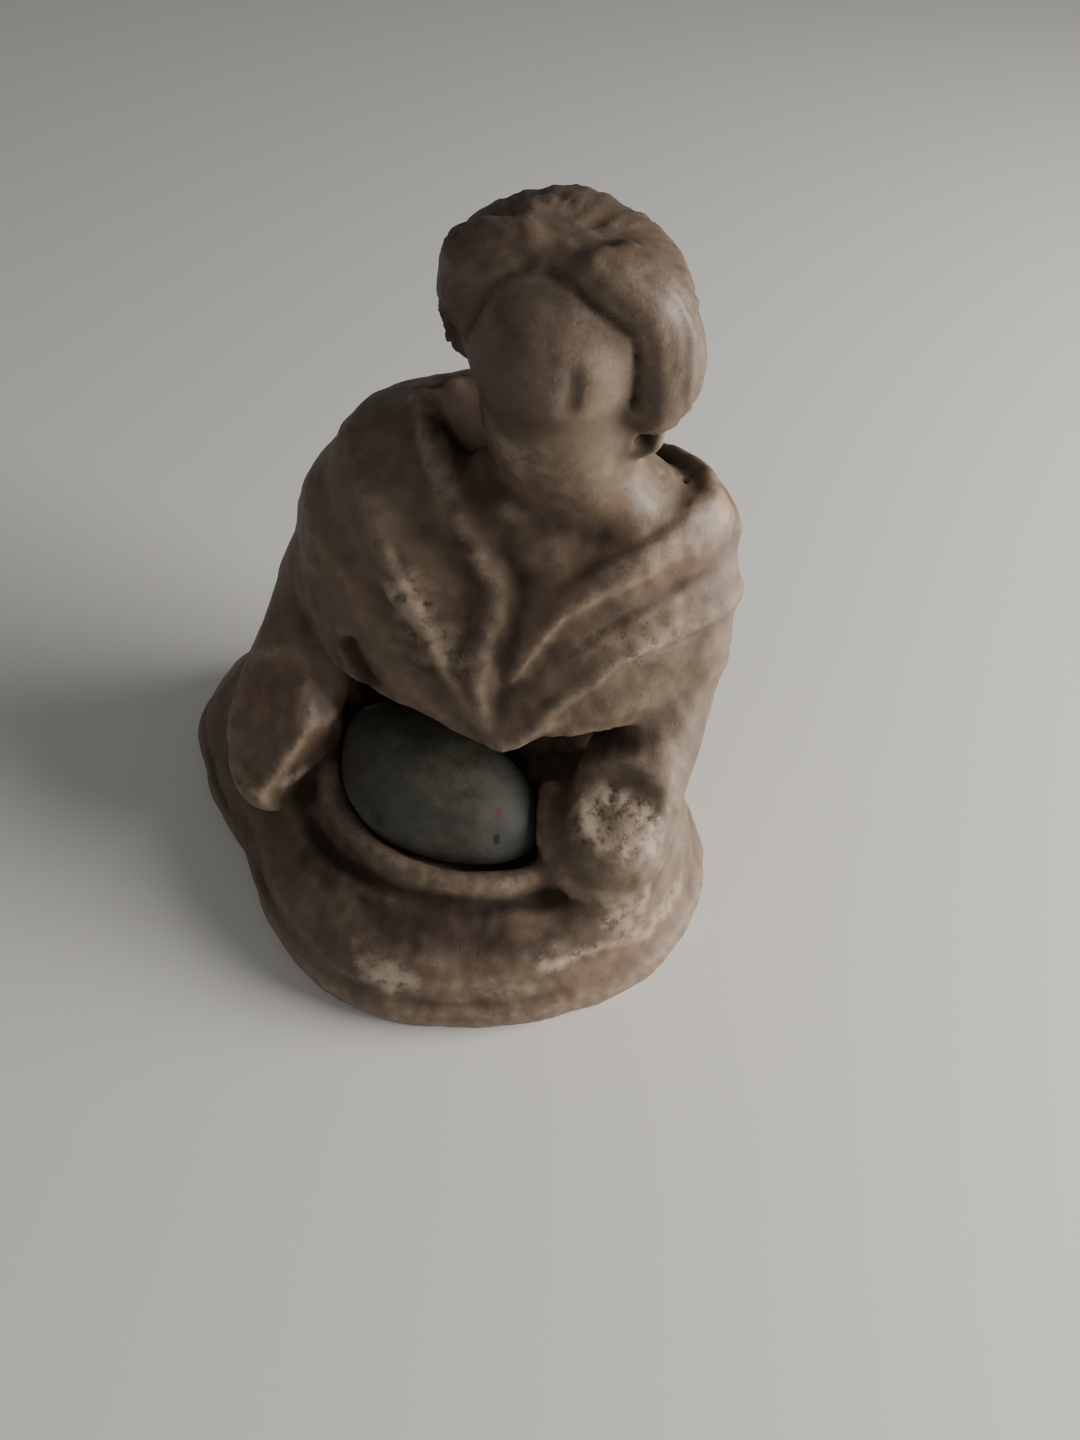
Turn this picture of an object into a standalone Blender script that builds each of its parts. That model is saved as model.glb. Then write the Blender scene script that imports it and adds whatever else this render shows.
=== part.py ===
"""Small hand-moulded figurine: a seated figure in a shawl, with a loose pebble in its lap.

The figure is one solid. Seat, torso, shawl, arms, head and hair are lofted forms that a voxel
remesh fuses into one skin, as wet clay is pressed together. The pebble is a second solid that lies
in a seat pressed into the lap. The figure faces -Y, and the foot stands on the plane z = 0.
"""

import math

import bmesh
import bpy
import numpy as np
from mathutils import Euler, Matrix, Vector

MM = 0.001

# Driving sizes, in millimetres
HEIGHT = 86.0
PEBBLE_LENGTH = 25.5
PEBBLE_WIDTH = 17.8
PEBBLE_THICKNESS = 10.5
PEBBLE_CLEARANCE = 0.3
PEBBLE_SINK = 0.25
SKIN_VOXEL = 0.8
FIGURE_TRIANGLES = 8600

# The figure's proportions are in parts of its height: one unit is an 86th, about a millimetre
UNIT = HEIGHT / 86.0

# Finishes
CLAY_COLOUR = (0.23, 0.17, 0.125, 1.0)
CLAY_ROUGHNESS = 0.62
PEBBLE_COLOUR = (0.085, 0.09, 0.075, 1.0)
PEBBLE_ROUGHNESS = 0.5

# Where the forms stand, in units
SEAT_CENTRE = (-1.0, -3.0)
DISH_CENTRE = (4.0, 0.6)
DISH_RIM_RADIUS = 19.4
DISH_RIM_HEIGHT = 17.8
DISH_FLOOR_HEIGHT = 14.4
FOOT_THICKNESS = 6.0
SHAWL_CENTRE = (5.5, 8.5)
PEBBLE_PLACE = (1.2, -7.6)
PEBBLE_TURN = (14.0, 6.0, -1.0)
PEBBLE_LEAN = -0.36

# Direction from the seat's centre, in degrees (0 is +X, 270 is the front), and reach of the foot
SEAT_OUTLINE = (
    (5, 36.5), (30, 34.0), (60, 31.0), (90, 30.0), (120, 34.5), (148, 40.5), (165, 39.6),
    (180, 33.2), (203, 25.7), (231, 25.3), (262, 27.3), (290, 28.5), (315, 31.2), (340, 35.4),
)

# Shawl: direction, then reach and height of the hem, of the shoulder's pull and of the neckline
SHAWL_SECTIONS = (
    (0, 25.2, 31.5, 27.2, 48.5, 20.4, 58.8),
    (45, 22.0, 30.0, 23.0, 51.0, 13.5, 56.5),
    (90, 17.5, 28.5, 19.0, 56.0, 8.6, 61.5),
    (135, 21.5, 28.5, 23.6, 56.0, 10.2, 61.4),
    (180, 26.0, 31.0, 28.6, 55.0, 9.8, 62.6),
    (215, 20.4, 31.5, 21.4, 53.0, 9.0, 61.2),
    (245, 15.6, 30.5, 15.6, 47.0, 8.8, 57.0),
    (272, 15.4, 28.6, 14.0, 40.0, 9.8, 49.8),
    (300, 16.0, 30.5, 15.6, 45.0, 13.0, 51.6),
    (330, 20.3, 32.0, 20.8, 48.5, 17.0, 57.0),
)

# Direction of the seam where the shawl's sides meet, at the hem, and its lean up to the neckline
FRONT_SEAM = 275.0
SEAM_LEAN = 14.0

# Folds of the shawl: place between hem (0) and neckline (1), width and height, then how far the
# fold sinks as it nears the front seam and over how many degrees
LEFT_FOLDS = ((0.07, 0.10, 0.9, 0.0, 1), (0.78, 0.07, 1.1, 0.60, 44), (0.60, 0.08, -0.5, 0.48, 55))
RIGHT_FOLDS = (
    (0.08, 0.10, 0.8, 0.0, 1), (0.50, 0.09, 1.1, 0.50, 36), (0.72, 0.05, -0.7, 0.42, 28),
    (0.90, 0.11, 1.3, 0.45, 24),
)
REAR_FOLDS = ((0.08, 0.10, 0.8, 0.0, 1), (0.42, 0.10, 0.9, 0.0, 1), (0.75, 0.10, 0.8, 0.0, 1))

# The shawl's rolled edge, from behind the left shoulder along the neckline and down the seam
ROLLED_EDGE = (
    (-4.8, 8.6, 61.8, 1.5), (-2.4, 3.6, 60.9, 1.7), (0.3, 0.8, 57.8, 1.8), (2.6, -0.4, 54.8, 1.8),
    (4.6, -1.2, 51.4, 1.8), (6.4, -1.8, 49.0, 1.7), (6.5, -2.8, 46.8, 1.6), (5.8, -3.6, 43.6, 1.6),
    (5.3, -4.5, 40.6, 1.5), (5.1, -5.4, 37.3, 1.4), (6.0, -6.2, 33.6, 1.1),
)


def spline(points, count, closed=False):
    """A curve through the points: a cubic Hermite whose slopes come from each point's neighbours."""
    points = np.asarray(points, float)
    if closed:
        padded = np.vstack([points[-1:], points, points[:2]])
        spans = len(points)
    else:
        padded = np.vstack([2 * points[0] - points[1], points, 2 * points[-1] - points[-2]])
        spans = len(points) - 1
    at = np.linspace(0, spans, count, endpoint=not closed)
    span = np.minimum(at.astype(int), spans - 1)
    t = (at - span)[:, None]
    before, start, end, after = (padded[span + shift] for shift in range(4))
    slope_in, slope_out = (end - before) / 2, (after - start) / 2
    return (
        (2 * t**3 - 3 * t**2 + 1) * start
        + (t**3 - 2 * t**2 + t) * slope_in
        + (-2 * t**3 + 3 * t**2) * end
        + (t**3 - t**2) * slope_out
    )


def around(table, angles):
    """Values of a table of (degrees, values...) rows at the given angles, smooth all the way round."""
    rows = np.asarray(table, float)
    dense = spline(np.column_stack([np.arange(len(rows)), rows[:, 1:]]), 720, closed=True)[:, 1:]
    degrees = np.append(rows[:, 0], rows[0, 0] + 360)
    places = np.interp(np.linspace(0, len(rows), 720, endpoint=False), np.arange(len(degrees)), degrees)
    turned = (np.degrees(angles) - rows[0, 0]) % 360 + rows[0, 0]
    return np.column_stack([np.interp(turned, places, dense[:, c]) for c in range(dense.shape[1])])


def bump(angles, centre, width):
    """A smooth hill round one direction, 1 at its centre, both in degrees."""
    away = (np.degrees(angles) - centre + 180) % 360 - 180
    return np.exp(-((away / width) ** 2))


def grid_solid(name, rows):
    """A closed skin from a stack of rings, each with the same count of points, capped at both ends."""
    rows = np.asarray(rows, float)
    count, around_count = rows.shape[:2]
    shape = bmesh.new()
    loops = [[shape.verts.new(Vector(p) * MM) for p in ring] for ring in rows * UNIT]
    for low, high in zip(loops, loops[1:]):
        for i in range(around_count):
            j = (i + 1) % around_count
            shape.faces.new((low[i], low[j], high[j], high[i]))
    shape.faces.new(loops[0][::-1])
    shape.faces.new(loops[count - 1])
    bmesh.ops.recalc_face_normals(shape, faces=shape.faces)
    mesh = bpy.data.meshes.new(name)
    shape.to_mesh(mesh)
    shape.free()
    made = bpy.data.objects.new(name, mesh)
    bpy.context.scene.collection.objects.link(made)
    return made


def limb(name, stations, flats=(), steps=26, sides=20):
    """A tube of changing thickness along a curve. Each station is x, y, z and radius in units.
    A flat is a place, an outward direction and a reach: near the place, the clay is pressed back to
    that plane."""
    line = spline(stations, steps)
    centres, radii = line[:, :3], line[:, 3]
    tangents = np.gradient(centres, axis=0)
    tangents /= np.linalg.norm(tangents, axis=1)[:, None]
    side = np.cross(tangents, (0.0, 0.3, 1.0))
    side /= np.linalg.norm(side, axis=1)[:, None]
    top = np.cross(side, tangents)
    turn = np.linspace(0, 2 * math.pi, sides, endpoint=False)
    rounding = np.array([-0.92, -0.7, -0.38, 0.0])
    rings = []
    for slip in rounding:
        small = math.sqrt(1 - slip**2)
        rings.append((centres[0] + tangents[0] * radii[0] * slip, side[0], top[0], radii[0] * small))
    rings += list(zip(centres[1:-1], side[1:-1], top[1:-1], radii[1:-1]))
    for slip in -rounding[::-1]:
        small = math.sqrt(1 - slip**2)
        rings.append((centres[-1] + tangents[-1] * radii[-1] * slip, side[-1], top[-1], radii[-1] * small))
    rows = np.array([
        centre + radius * (np.outer(np.cos(turn), across) + np.outer(np.sin(turn), up))
        for centre, across, up, radius in rings
    ])
    for place, outward, reach in flats:
        outward = np.array(outward) / np.linalg.norm(outward)
        pressed = np.clip((reach - np.linalg.norm(rows - place, axis=-1)) / 2.0, 0.0, 1.0)
        rows -= (pressed * np.maximum((rows - place) @ outward, 0.0))[..., None] * outward
    return grid_solid(name, rows)


def ball(name, centre, radii, turn=(0, 0, 0), segments=28):
    """An ellipsoid with its centre and radii in units and its turn in degrees."""
    shape = bmesh.new()
    bmesh.ops.create_uvsphere(shape, u_segments=segments, v_segments=segments // 2, radius=1.0)
    place = (
        Matrix.Translation(Vector(centre) * UNIT * MM)
        @ Euler([math.radians(a) for a in turn]).to_matrix().to_4x4()
        @ Matrix.Diagonal((*(Vector(radii) * UNIT * MM), 1.0))
    )
    bmesh.ops.transform(shape, matrix=place, verts=shape.verts)
    mesh = bpy.data.meshes.new(name)
    shape.to_mesh(mesh)
    shape.free()
    made = bpy.data.objects.new(name, mesh)
    bpy.context.scene.collection.objects.link(made)
    return made


def seat():
    """Foot, folded legs and dish in one skin: a profile carried round, from the underside up the
    side, over the lap, over the dish's rim and down to its floor."""
    turn = np.linspace(0, 2 * math.pi, 84, endpoint=False)
    direction = np.column_stack([np.cos(turn), np.sin(turn)])
    reach = around(SEAT_OUTLINE, turn)[:, 0]
    left_knee, right_knee = bump(turn, 160, 38), bump(turn, 352, 40)
    back = bump(turn, 90, 42)
    knees = 4.0 * left_knee + 4.2 * right_knee + 3.0 * back

    def foot_ring(share, height):
        flat = np.array(SEAT_CENTRE) + direction * (reach * share)[:, None]
        return np.column_stack([flat, np.full(len(turn), height)])

    def dish_ring(radius, height):
        flat = np.array(DISH_CENTRE) + direction * radius
        return np.column_stack([flat, np.full(len(turn), height)])

    side = [
        foot_ring(0.88, -3.0), foot_ring(0.955, -0.4), foot_ring(0.985, 1.2), foot_ring(1.0, 3.2),
        foot_ring(0.990, FOOT_THICKNESS - 1.3), foot_ring(0.962, FOOT_THICKNESS - 0.4),
        foot_ring(0.946, FOOT_THICKNESS + 0.2), foot_ring(0.940, FOOT_THICKNESS + 1.2),
    ]
    edge, inner = foot_ring(0.922, 9.6), dish_ring(DISH_RIM_RADIUS + 1.9, 14.8)
    edge[:, 2] -= 1.8 * bump(turn, 270, 62)
    lap = []
    for step in np.linspace(0, 1, 9)[:-1]:
        ring = edge + (inner - edge) * step
        shin = math.exp(-(((step - 0.2) / 0.16) ** 2)) * bump(turn, 290, 55)
        ring[:, 2] += knees * math.sin(math.pi * step**0.75) + 0.7 * shin + 0.4 * math.sin(math.pi * step)
        lap.append(ring)
    dish = [
        inner,
        dish_ring(DISH_RIM_RADIUS + 1.3, DISH_RIM_HEIGHT - 1.6),
        dish_ring(DISH_RIM_RADIUS + 0.8, DISH_RIM_HEIGHT - 0.4),
        dish_ring(DISH_RIM_RADIUS - 0.1, DISH_RIM_HEIGHT + 0.1),
        dish_ring(DISH_RIM_RADIUS - 1.4, DISH_RIM_HEIGHT - 0.3),
        dish_ring(DISH_RIM_RADIUS - 2.5, DISH_FLOOR_HEIGHT + 1.0),
        dish_ring(DISH_RIM_RADIUS - 6.0, DISH_FLOOR_HEIGHT + 0.3),
        dish_ring(DISH_RIM_RADIUS - 13.0, DISH_FLOOR_HEIGHT),
    ]
    for ring in dish:
        ring[:, 2] += 0.5 * (left_knee + right_knee) - 0.4 * bump(turn, 270, 60)
    return grid_solid("seat", side + lap + dish)


def torso():
    """The upper body from lap to neck: ellipses, each x, y, z, half width and half depth."""
    line = spline(
        (
            (4.0, 13.5, 6.0, 23.0, 13.0),
            (4.0, 13.8, 14.0, 22.5, 12.0),
            (4.2, 13.6, 24.0, 20.8, 10.8),
            (4.6, 12.6, 33.0, 18.6, 10.0),
            (6.0, 10.0, 44.0, 16.5, 9.2),
            (9.4, 8.0, 52.0, 14.6, 7.8),
            (13.4, 6.8, 57.0, 11.0, 7.0),
            (11.6, 4.9, 61.0, 8.2, 6.9),
            (10.7, 3.0, 64.6, 7.2, 6.5),
            (10.3, 1.7, 68.4, 7.0, 6.4),
            (10.1, 1.1, 72.0, 7.1, 6.3),
        ),
        36,
    )
    turn = np.linspace(0, 2 * math.pi, 48, endpoint=False)
    rings = []
    for x, y, z, wide, deep in line:
        rings.append(np.column_stack([x + wide * np.cos(turn), y + deep * np.sin(turn), np.full(48, z)]))
    return [
        grid_solid("torso", rings),
        ball("chest", (11.6, 3.2, 52.5), (8.2, 5.6, 5.5)),
        ball("collar", (6.0, 3.4, 55.5), (6.0, 4.6, 6.5)),
        ball("shoulder", (17.0, 4.4, 52.6), (7.6, 5.2, 4.8), (0, -24, 0)),
    ]


def ridges(across, turn, folds):
    """The height of the folds at a place between hem and neckline in each direction: a sum of
    hills, whose middles sink towards the front seam."""
    return sum(
        height * np.exp(-(((across - place + sink * bump(turn, FRONT_SEAM, spread)) / width) ** 2))
        for place, width, height, sink, spread in folds
    )


def shawl():
    """A capelet round the shoulders. Each direction has one curved section from hem to neckline,
    and the folds are ridges that run round it and draw together towards the front."""
    turn = np.linspace(0, 2 * math.pi, 132, endpoint=False)
    direction = np.column_stack([np.cos(turn), np.sin(turn)])
    hem_r, hem_z, pull_r, pull_z, neck_r, neck_z = around(SHAWL_SECTIONS, turn).T
    centre = np.array(SHAWL_CENTRE)
    rear = bump(turn, 90, 75)

    def ring(reach, height):
        flat = centre + direction * np.maximum(reach, 0.5)[:, None]
        return np.column_stack([flat, height])

    inside = [
        ring(np.full(len(turn), 4.0), np.full(len(turn), 36.0)),
        ring(hem_r * 0.72, hem_z + 2.6),
        ring(hem_r - 1.6, hem_z + 0.6),
    ]
    outside = []
    for s in np.linspace(0, 1, 34):
        reach = (1 - s) ** 2 * hem_r + 2 * s * (1 - s) * pull_r + s**2 * neck_r
        height = (1 - s) ** 2 * hem_z + 2 * s * (1 - s) * pull_z + s**2 * neck_z
        on_left = 1 / (1 + np.exp((np.degrees(turn) - FRONT_SEAM - SEAM_LEAN * s) / 2.0))
        reach = reach + (1 - rear) * on_left * ridges(s, turn, LEFT_FOLDS)
        reach = reach + (1 - rear) * (1 - on_left) * ridges(s, turn, RIGHT_FOLDS)
        reach = reach + rear * ridges(s, turn, REAR_FOLDS)
        outside.append(ring(reach, height))
    lip = [
        ring(neck_r - 1.3, neck_z + 0.1),
        ring(neck_r - 2.2, neck_z - 1.8),
        ring(neck_r * 0.35, neck_z * 0.25 + 38.0),
    ]
    return [grid_solid("shawl", inside + outside + lip), limb("rolled_edge", ROLLED_EDGE, steps=40)]


def arms():
    """Both arms come out under the hem and end in mitten hands on the rim of the dish, the right one
    with a finger curled along the rim."""
    left = limb(
        "left_arm",
        (
            (-9.0, 10.0, 46.0, 6.5), (-15.4, 8.2, 38.5, 6.2), (-18.0, 5.6, 31.5, 5.8),
            (-19.3, -0.4, 24.8, 6.6), (-19.3, -5.0, 21.6, 7.0), (-18.6, -8.6, 19.0, 6.6),
        ),
        flats=(
            ((-19.0, -8.2, 24.8), (-0.25, -0.62, 0.74), 9.0),
            ((-15.6, -9.4, 19.5), (0.87, -0.48, -0.05), 11.0),
        ),
    )
    right = limb(
        "right_arm",
        (
            (20.0, 8.0, 48.0, 7.5), (24.2, 7.6, 41.0, 7.0), (25.2, 6.0, 33.0, 5.9),
            (24.6, 1.0, 26.0, 6.2), (23.4, -4.8, 21.3, 6.8), (22.8, -8.6, 18.6, 7.2),
        ),
        flats=(((22.8, -10.5, 24.2), (0.0, -0.2, 0.98), 7.0),),
    )
    finger = limb(
        "right_finger",
        (
            (14.9, -6.0, 20.4, 1.9), (15.4, -9.0, 19.8, 2.0), (16.6, -12.2, 18.4, 2.0),
            (19.4, -14.6, 17.0, 2.0), (23.4, -15.2, 16.4, 2.0), (26.8, -13.4, 16.2, 1.8),
        ),
    )
    return [left, right, finger, ball("right_palm", (19.5, -5.0, 18.4), (5.8, 7.2, 4.3))]


def head():
    """A smooth blank egg for the face, under a cap of hair that is parted over the brow."""
    return [
        ball("face", (9.9, 0.9, 76.0), (8.0, 7.5, 9.0), (8, 0, -8), 36),
        ball("crown", (9.4, 6.8, 77.2), (11.0, 9.5, 8.1)),
        ball("left_side", (3.4, 5.2, 76.6), (4.8, 6.0, 6.2)),
        ball("right_side", (16.3, 5.0, 75.6), (5.6, 6.2, 7.2)),
        ball("nape", (9.8, 9.6, 72.4), (8.4, 6.4, 6.6)),
        ball("left_fill", (4.6, 1.8, 80.2), (4.2, 4.4, 4.2)),
        ball("right_fill", (14.6, 1.6, 79.8), (6.2, 5.0, 4.6)),
        ball("swirl", (7.8, 3.0, 83.4), (3.0, 4.2, 1.9), (20, 0, 12)),
        ball("stub", (18.0, 2.2, 67.2), (2.6, 2.2, 2.3)),
        limb(
            "left_hair",
            (
                (8.9, -0.9, 83.9, 1.9), (5.6, -0.6, 83.8, 2.7), (3.3, 0.5, 82.4, 3.3),
                (2.2, 1.2, 79.6, 2.9), (1.7, 2.0, 76.8, 2.4), (1.9, 3.0, 74.0, 1.8),
            ),
        ),
        limb(
            "right_hair",
            (
                (9.2, -0.9, 83.9, 1.9), (12.7, -1.5, 83.7, 2.8), (16.9, -0.5, 81.7, 3.5),
                (18.9, 0.3, 78.6, 3.2), (19.6, 0.8, 75.5, 3.2), (19.6, 1.2, 73.1, 3.2), (19.2, 1.4, 71.3, 2.7),
            ),
        ),
    ]


def material(name, colour, roughness):
    """A plain finish; the fine looks aren't part of the solids."""
    made = bpy.data.materials.new(name)
    made.use_nodes = True
    shader = made.node_tree.nodes["Principled BSDF"]
    shader.inputs["Base Color"].default_value = colour
    shader.inputs["Roughness"].default_value = roughness
    shader.inputs["Metallic"].default_value = 0.0
    return made


def join(name, pieces):
    """The pieces as one object, with the first one's place."""
    shape = bmesh.new()
    for piece in pieces:
        shape.from_mesh(piece.data)
        bpy.data.objects.remove(piece)
    mesh = bpy.data.meshes.new(name)
    shape.to_mesh(mesh)
    shape.free()
    made = bpy.data.objects.new(name, mesh)
    bpy.context.scene.collection.objects.link(made)
    return made


def apply_modifiers(made):
    """Puts what the modifiers make into the object's own mesh."""
    graph = bpy.context.evaluated_depsgraph_get()
    mesh = bpy.data.meshes.new_from_object(made.evaluated_get(graph))
    made.modifiers.clear()
    made.data = mesh


def flat_foot(made):
    """Cuts the object off level at z = 0 and closes the cut."""
    shape = bmesh.new()
    shape.from_mesh(made.data)
    everything = shape.verts[:] + shape.edges[:] + shape.faces[:]
    cut = bmesh.ops.bisect_plane(
        shape, geom=everything, plane_co=(0, 0, 0), plane_no=(0, 0, 1), clear_inner=True, dist=1e-5
    )
    rim = [e for e in cut["geom_cut"] if isinstance(e, bmesh.types.BMEdge)]
    for vert in {v for e in rim for v in e.verts}:
        vert.co.z = 0.0
    bmesh.ops.edgeloop_fill(shape, edges=rim)
    bmesh.ops.recalc_face_normals(shape, faces=shape.faces)
    bmesh.ops.triangulate(shape, faces=shape.faces)
    shape.to_mesh(made.data)
    shape.free()


def pebble_shape(name, grown=0.0):
    """The pebble: a blunt ellipsoid that leans in plan and narrows to one end, laid at its tilt on
    the dish's floor, into which it sinks a little. grown is added all round."""
    shape = bmesh.new()
    bmesh.ops.create_uvsphere(shape, u_segments=28, v_segments=16, radius=1.0)
    half = Vector((PEBBLE_LENGTH / 2 + grown, PEBBLE_WIDTH / 2 + grown, PEBBLE_THICKNESS / 2 + grown))
    for vert in shape.verts:
        x, y, z = vert.co
        blunt = math.hypot(x, y) / max((abs(x) ** 2.3 + abs(y) ** 2.3) ** (1 / 2.3), 1e-9)
        x, y = x * blunt, y * blunt
        across = y * half.y * (1.0 - 0.15 * x)
        vert.co = Vector((x * half.x + PEBBLE_LEAN * y * half.y, across, z * half.z * (1.0 - 0.06 * x)))
    height = DISH_FLOOR_HEIGHT * UNIT + PEBBLE_THICKNESS / 2 - PEBBLE_SINK
    centre = Vector((PEBBLE_PLACE[0] * UNIT, PEBBLE_PLACE[1] * UNIT, height))
    place = (
        Matrix.Translation(centre * MM)
        @ Euler([math.radians(a) for a in PEBBLE_TURN]).to_matrix().to_4x4()
        @ Matrix.Scale(MM, 4)
    )
    bmesh.ops.transform(shape, matrix=place, verts=shape.verts)
    mesh = bpy.data.meshes.new(name)
    shape.to_mesh(mesh)
    shape.free()
    made = bpy.data.objects.new(name, mesh)
    bpy.context.scene.collection.objects.link(made)
    return made


def figure(seat_cutter):
    """The whole figure as one skin, with the pebble's seat pressed into the lap."""
    made = join("figure", [seat(), *torso(), *shawl(), *arms(), *head()])
    fuse = made.modifiers.new("fuse", "REMESH")
    fuse.mode = "VOXEL"
    fuse.voxel_size = SKIN_VOXEL * UNIT * MM
    soften = made.modifiers.new("soften", "SMOOTH")
    soften.factor = 0.5
    soften.iterations = 3
    apply_modifiers(made)
    thin = made.modifiers.new("thin", "DECIMATE")
    thin.ratio = FIGURE_TRIANGLES / (2 * len(made.data.polygons))
    apply_modifiers(made)
    flat_foot(made)
    press = made.modifiers.new("pebble_seat", "BOOLEAN")
    press.operation = "DIFFERENCE"
    press.object = seat_cutter
    return made


def main():
    for old in list(bpy.data.objects):
        bpy.data.objects.remove(old)
    pebble = pebble_shape("pebble")
    pebble.data.materials.append(material("pebble", PEBBLE_COLOUR, PEBBLE_ROUGHNESS))
    pebble.data.shade_smooth()
    cutter = pebble_shape("pebble_seat_cutter", PEBBLE_CLEARANCE)
    cutter.hide_render = True
    cutter.display_type = "WIRE"
    made = figure(cutter)
    made.data.materials.append(material("clay", CLAY_COLOUR, CLAY_ROUGHNESS))
    made.data.shade_smooth()


main()
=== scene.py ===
"""Looks of the seated shawl figurine: the clay figure with its folds, hair, finger marks and wear,
the pebble in its lap, a pale floor, soft light and the photograph's viewpoint.

The clay figure is worked out as rings and tubes, fused into one skin by a voxel remesh, and then
worked like clay: strokes press grooves and raise ridges along smooth paths on the skin. Lengths in
the modelling functions are in millimetres.
"""

import math

import bpy
import numpy as np
from mathutils import Euler, Matrix, Vector


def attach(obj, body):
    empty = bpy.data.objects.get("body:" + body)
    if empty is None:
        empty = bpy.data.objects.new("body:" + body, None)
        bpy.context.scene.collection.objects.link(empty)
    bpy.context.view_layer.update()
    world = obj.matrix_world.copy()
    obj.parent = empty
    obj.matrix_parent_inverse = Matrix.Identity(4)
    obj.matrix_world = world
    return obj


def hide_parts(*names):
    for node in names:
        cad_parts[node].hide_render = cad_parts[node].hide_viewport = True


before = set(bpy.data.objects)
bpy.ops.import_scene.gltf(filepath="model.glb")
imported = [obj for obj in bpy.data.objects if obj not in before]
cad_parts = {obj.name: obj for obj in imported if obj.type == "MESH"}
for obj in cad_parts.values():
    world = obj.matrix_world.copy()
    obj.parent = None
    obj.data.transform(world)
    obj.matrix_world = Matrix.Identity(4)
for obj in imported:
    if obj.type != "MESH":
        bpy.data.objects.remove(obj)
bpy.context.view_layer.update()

MM = 0.001

# Fineness of the skin in millimetres, and how many widths from its path a stroke still reaches
SKIN_VOXEL = 0.52
STROKE_REACH = 3.2

# The figure's main places
SEAT_CENTRE = (-1.0, -3.0)
DISH_CENTRE = (4.0, 0.6)
DISH_RIM_RADIUS = 19.4
DISH_RIM_HEIGHT = 17.8
DISH_FLOOR_HEIGHT = 14.4
FOOT_THICKNESS = 6.0
SHAWL_CENTRE = (5.5, 8.5)
RIGHT_HAND = (22.8, -8.6, 18.6)
FACE_CENTRE = (9.9, 0.9, 76.0)
FACE_RADII = (8.0, 7.5, 9.0)
FACE_TURN = (8, 0, -8)
FACE_DENT = ((12.6, -6.2, 78.6), (12.9, -6.2, 75.8), (12.6, -5.2, 72.6))
FACE_DENT_DEPTH = 0.4
PARTING = (8.9, -3.1, 84.4)
NAPE = (9.8, 16.0, 69.0)
LEFT_HAIRLINE = (
    (8.9, -2.9, 84.4), (6.7, -3.2, 83.5), (4.9, -3.1, 81.6), (3.6, -3.0, 78.9), (2.6, -1.6, 75.4),
)
RIGHT_HAIRLINE = (
    (8.9, -2.9, 84.4), (11.0, -3.7, 84.0), (13.3, -4.2, 82.4), (15.4, -3.9, 81.0), (17.0, -3.2, 79.4),
    (17.4, -2.2, 75.5), (17.6, -1.3, 71.6),
)

# The pebble: length, width, thickness, place, turn in degrees, how far its plan leans and the power
# of its blunt outline
PEBBLE_SIZE = (25.5, 17.8, 10.5)
PEBBLE_CENTRE = (1.2, -7.6, 19.4)
PEBBLE_TURN = (14.0, 6.0, -1.0)
PEBBLE_LEAN = -0.36
PEBBLE_BLUNT = 2.3
SEAT_CLEARANCE = 0.3

# Direction from the seat's centre in degrees, and reach of the foot
SEAT_OUTLINE = (
    (5, 36.5), (30, 34.0), (60, 31.0), (90, 30.0), (120, 34.5), (148, 40.5), (165, 39.6),
    (180, 33.2), (203, 25.7), (231, 25.3), (262, 27.3), (290, 28.5), (315, 31.2), (340, 35.4),
)

# Shawl: direction, then reach and height of the hem, of the shoulder's pull and of the neckline
SHAWL_SECTIONS = (
    (0, 25.2, 31.5, 27.2, 48.5, 20.4, 58.8),
    (45, 22.0, 30.0, 23.0, 51.0, 13.5, 56.5),
    (90, 17.5, 28.5, 19.0, 56.0, 8.6, 61.5),
    (135, 21.5, 28.5, 23.6, 56.0, 10.2, 61.4),
    (180, 26.0, 31.0, 28.6, 55.0, 9.8, 62.6),
    (215, 20.4, 31.5, 21.4, 53.0, 9.0, 61.2),
    (245, 15.6, 30.5, 15.6, 47.0, 8.8, 57.0),
    (272, 15.4, 28.6, 14.0, 40.0, 9.8, 49.8),
    (300, 16.0, 30.5, 15.6, 45.0, 13.0, 51.6),
    (330, 20.3, 32.0, 20.8, 48.5, 17.0, 57.0),
)

# Direction of the seam where the shawl's sides meet, at the hem, and its lean up to the neckline
FRONT_SEAM = 275.0
SEAM_LEAN = 14.0

# Folds of the shawl: place between hem (0) and neckline (1), width and height, then how far the
# fold sinks as it nears the front seam and over how many degrees
LEFT_FOLDS = ((0.07, 0.10, 0.9, 0.0, 1), (0.78, 0.07, 1.1, 0.60, 44), (0.60, 0.08, -0.5, 0.48, 55))
RIGHT_FOLDS = (
    (0.08, 0.10, 0.8, 0.0, 1), (0.50, 0.09, 1.1, 0.50, 36), (0.72, 0.05, -0.7, 0.42, 28),
    (0.90, 0.11, 1.3, 0.45, 24),
)
REAR_FOLDS = ((0.08, 0.10, 0.8, 0.0, 1), (0.42, 0.10, 0.9, 0.0, 1), (0.75, 0.10, 0.8, 0.0, 1))

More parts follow.
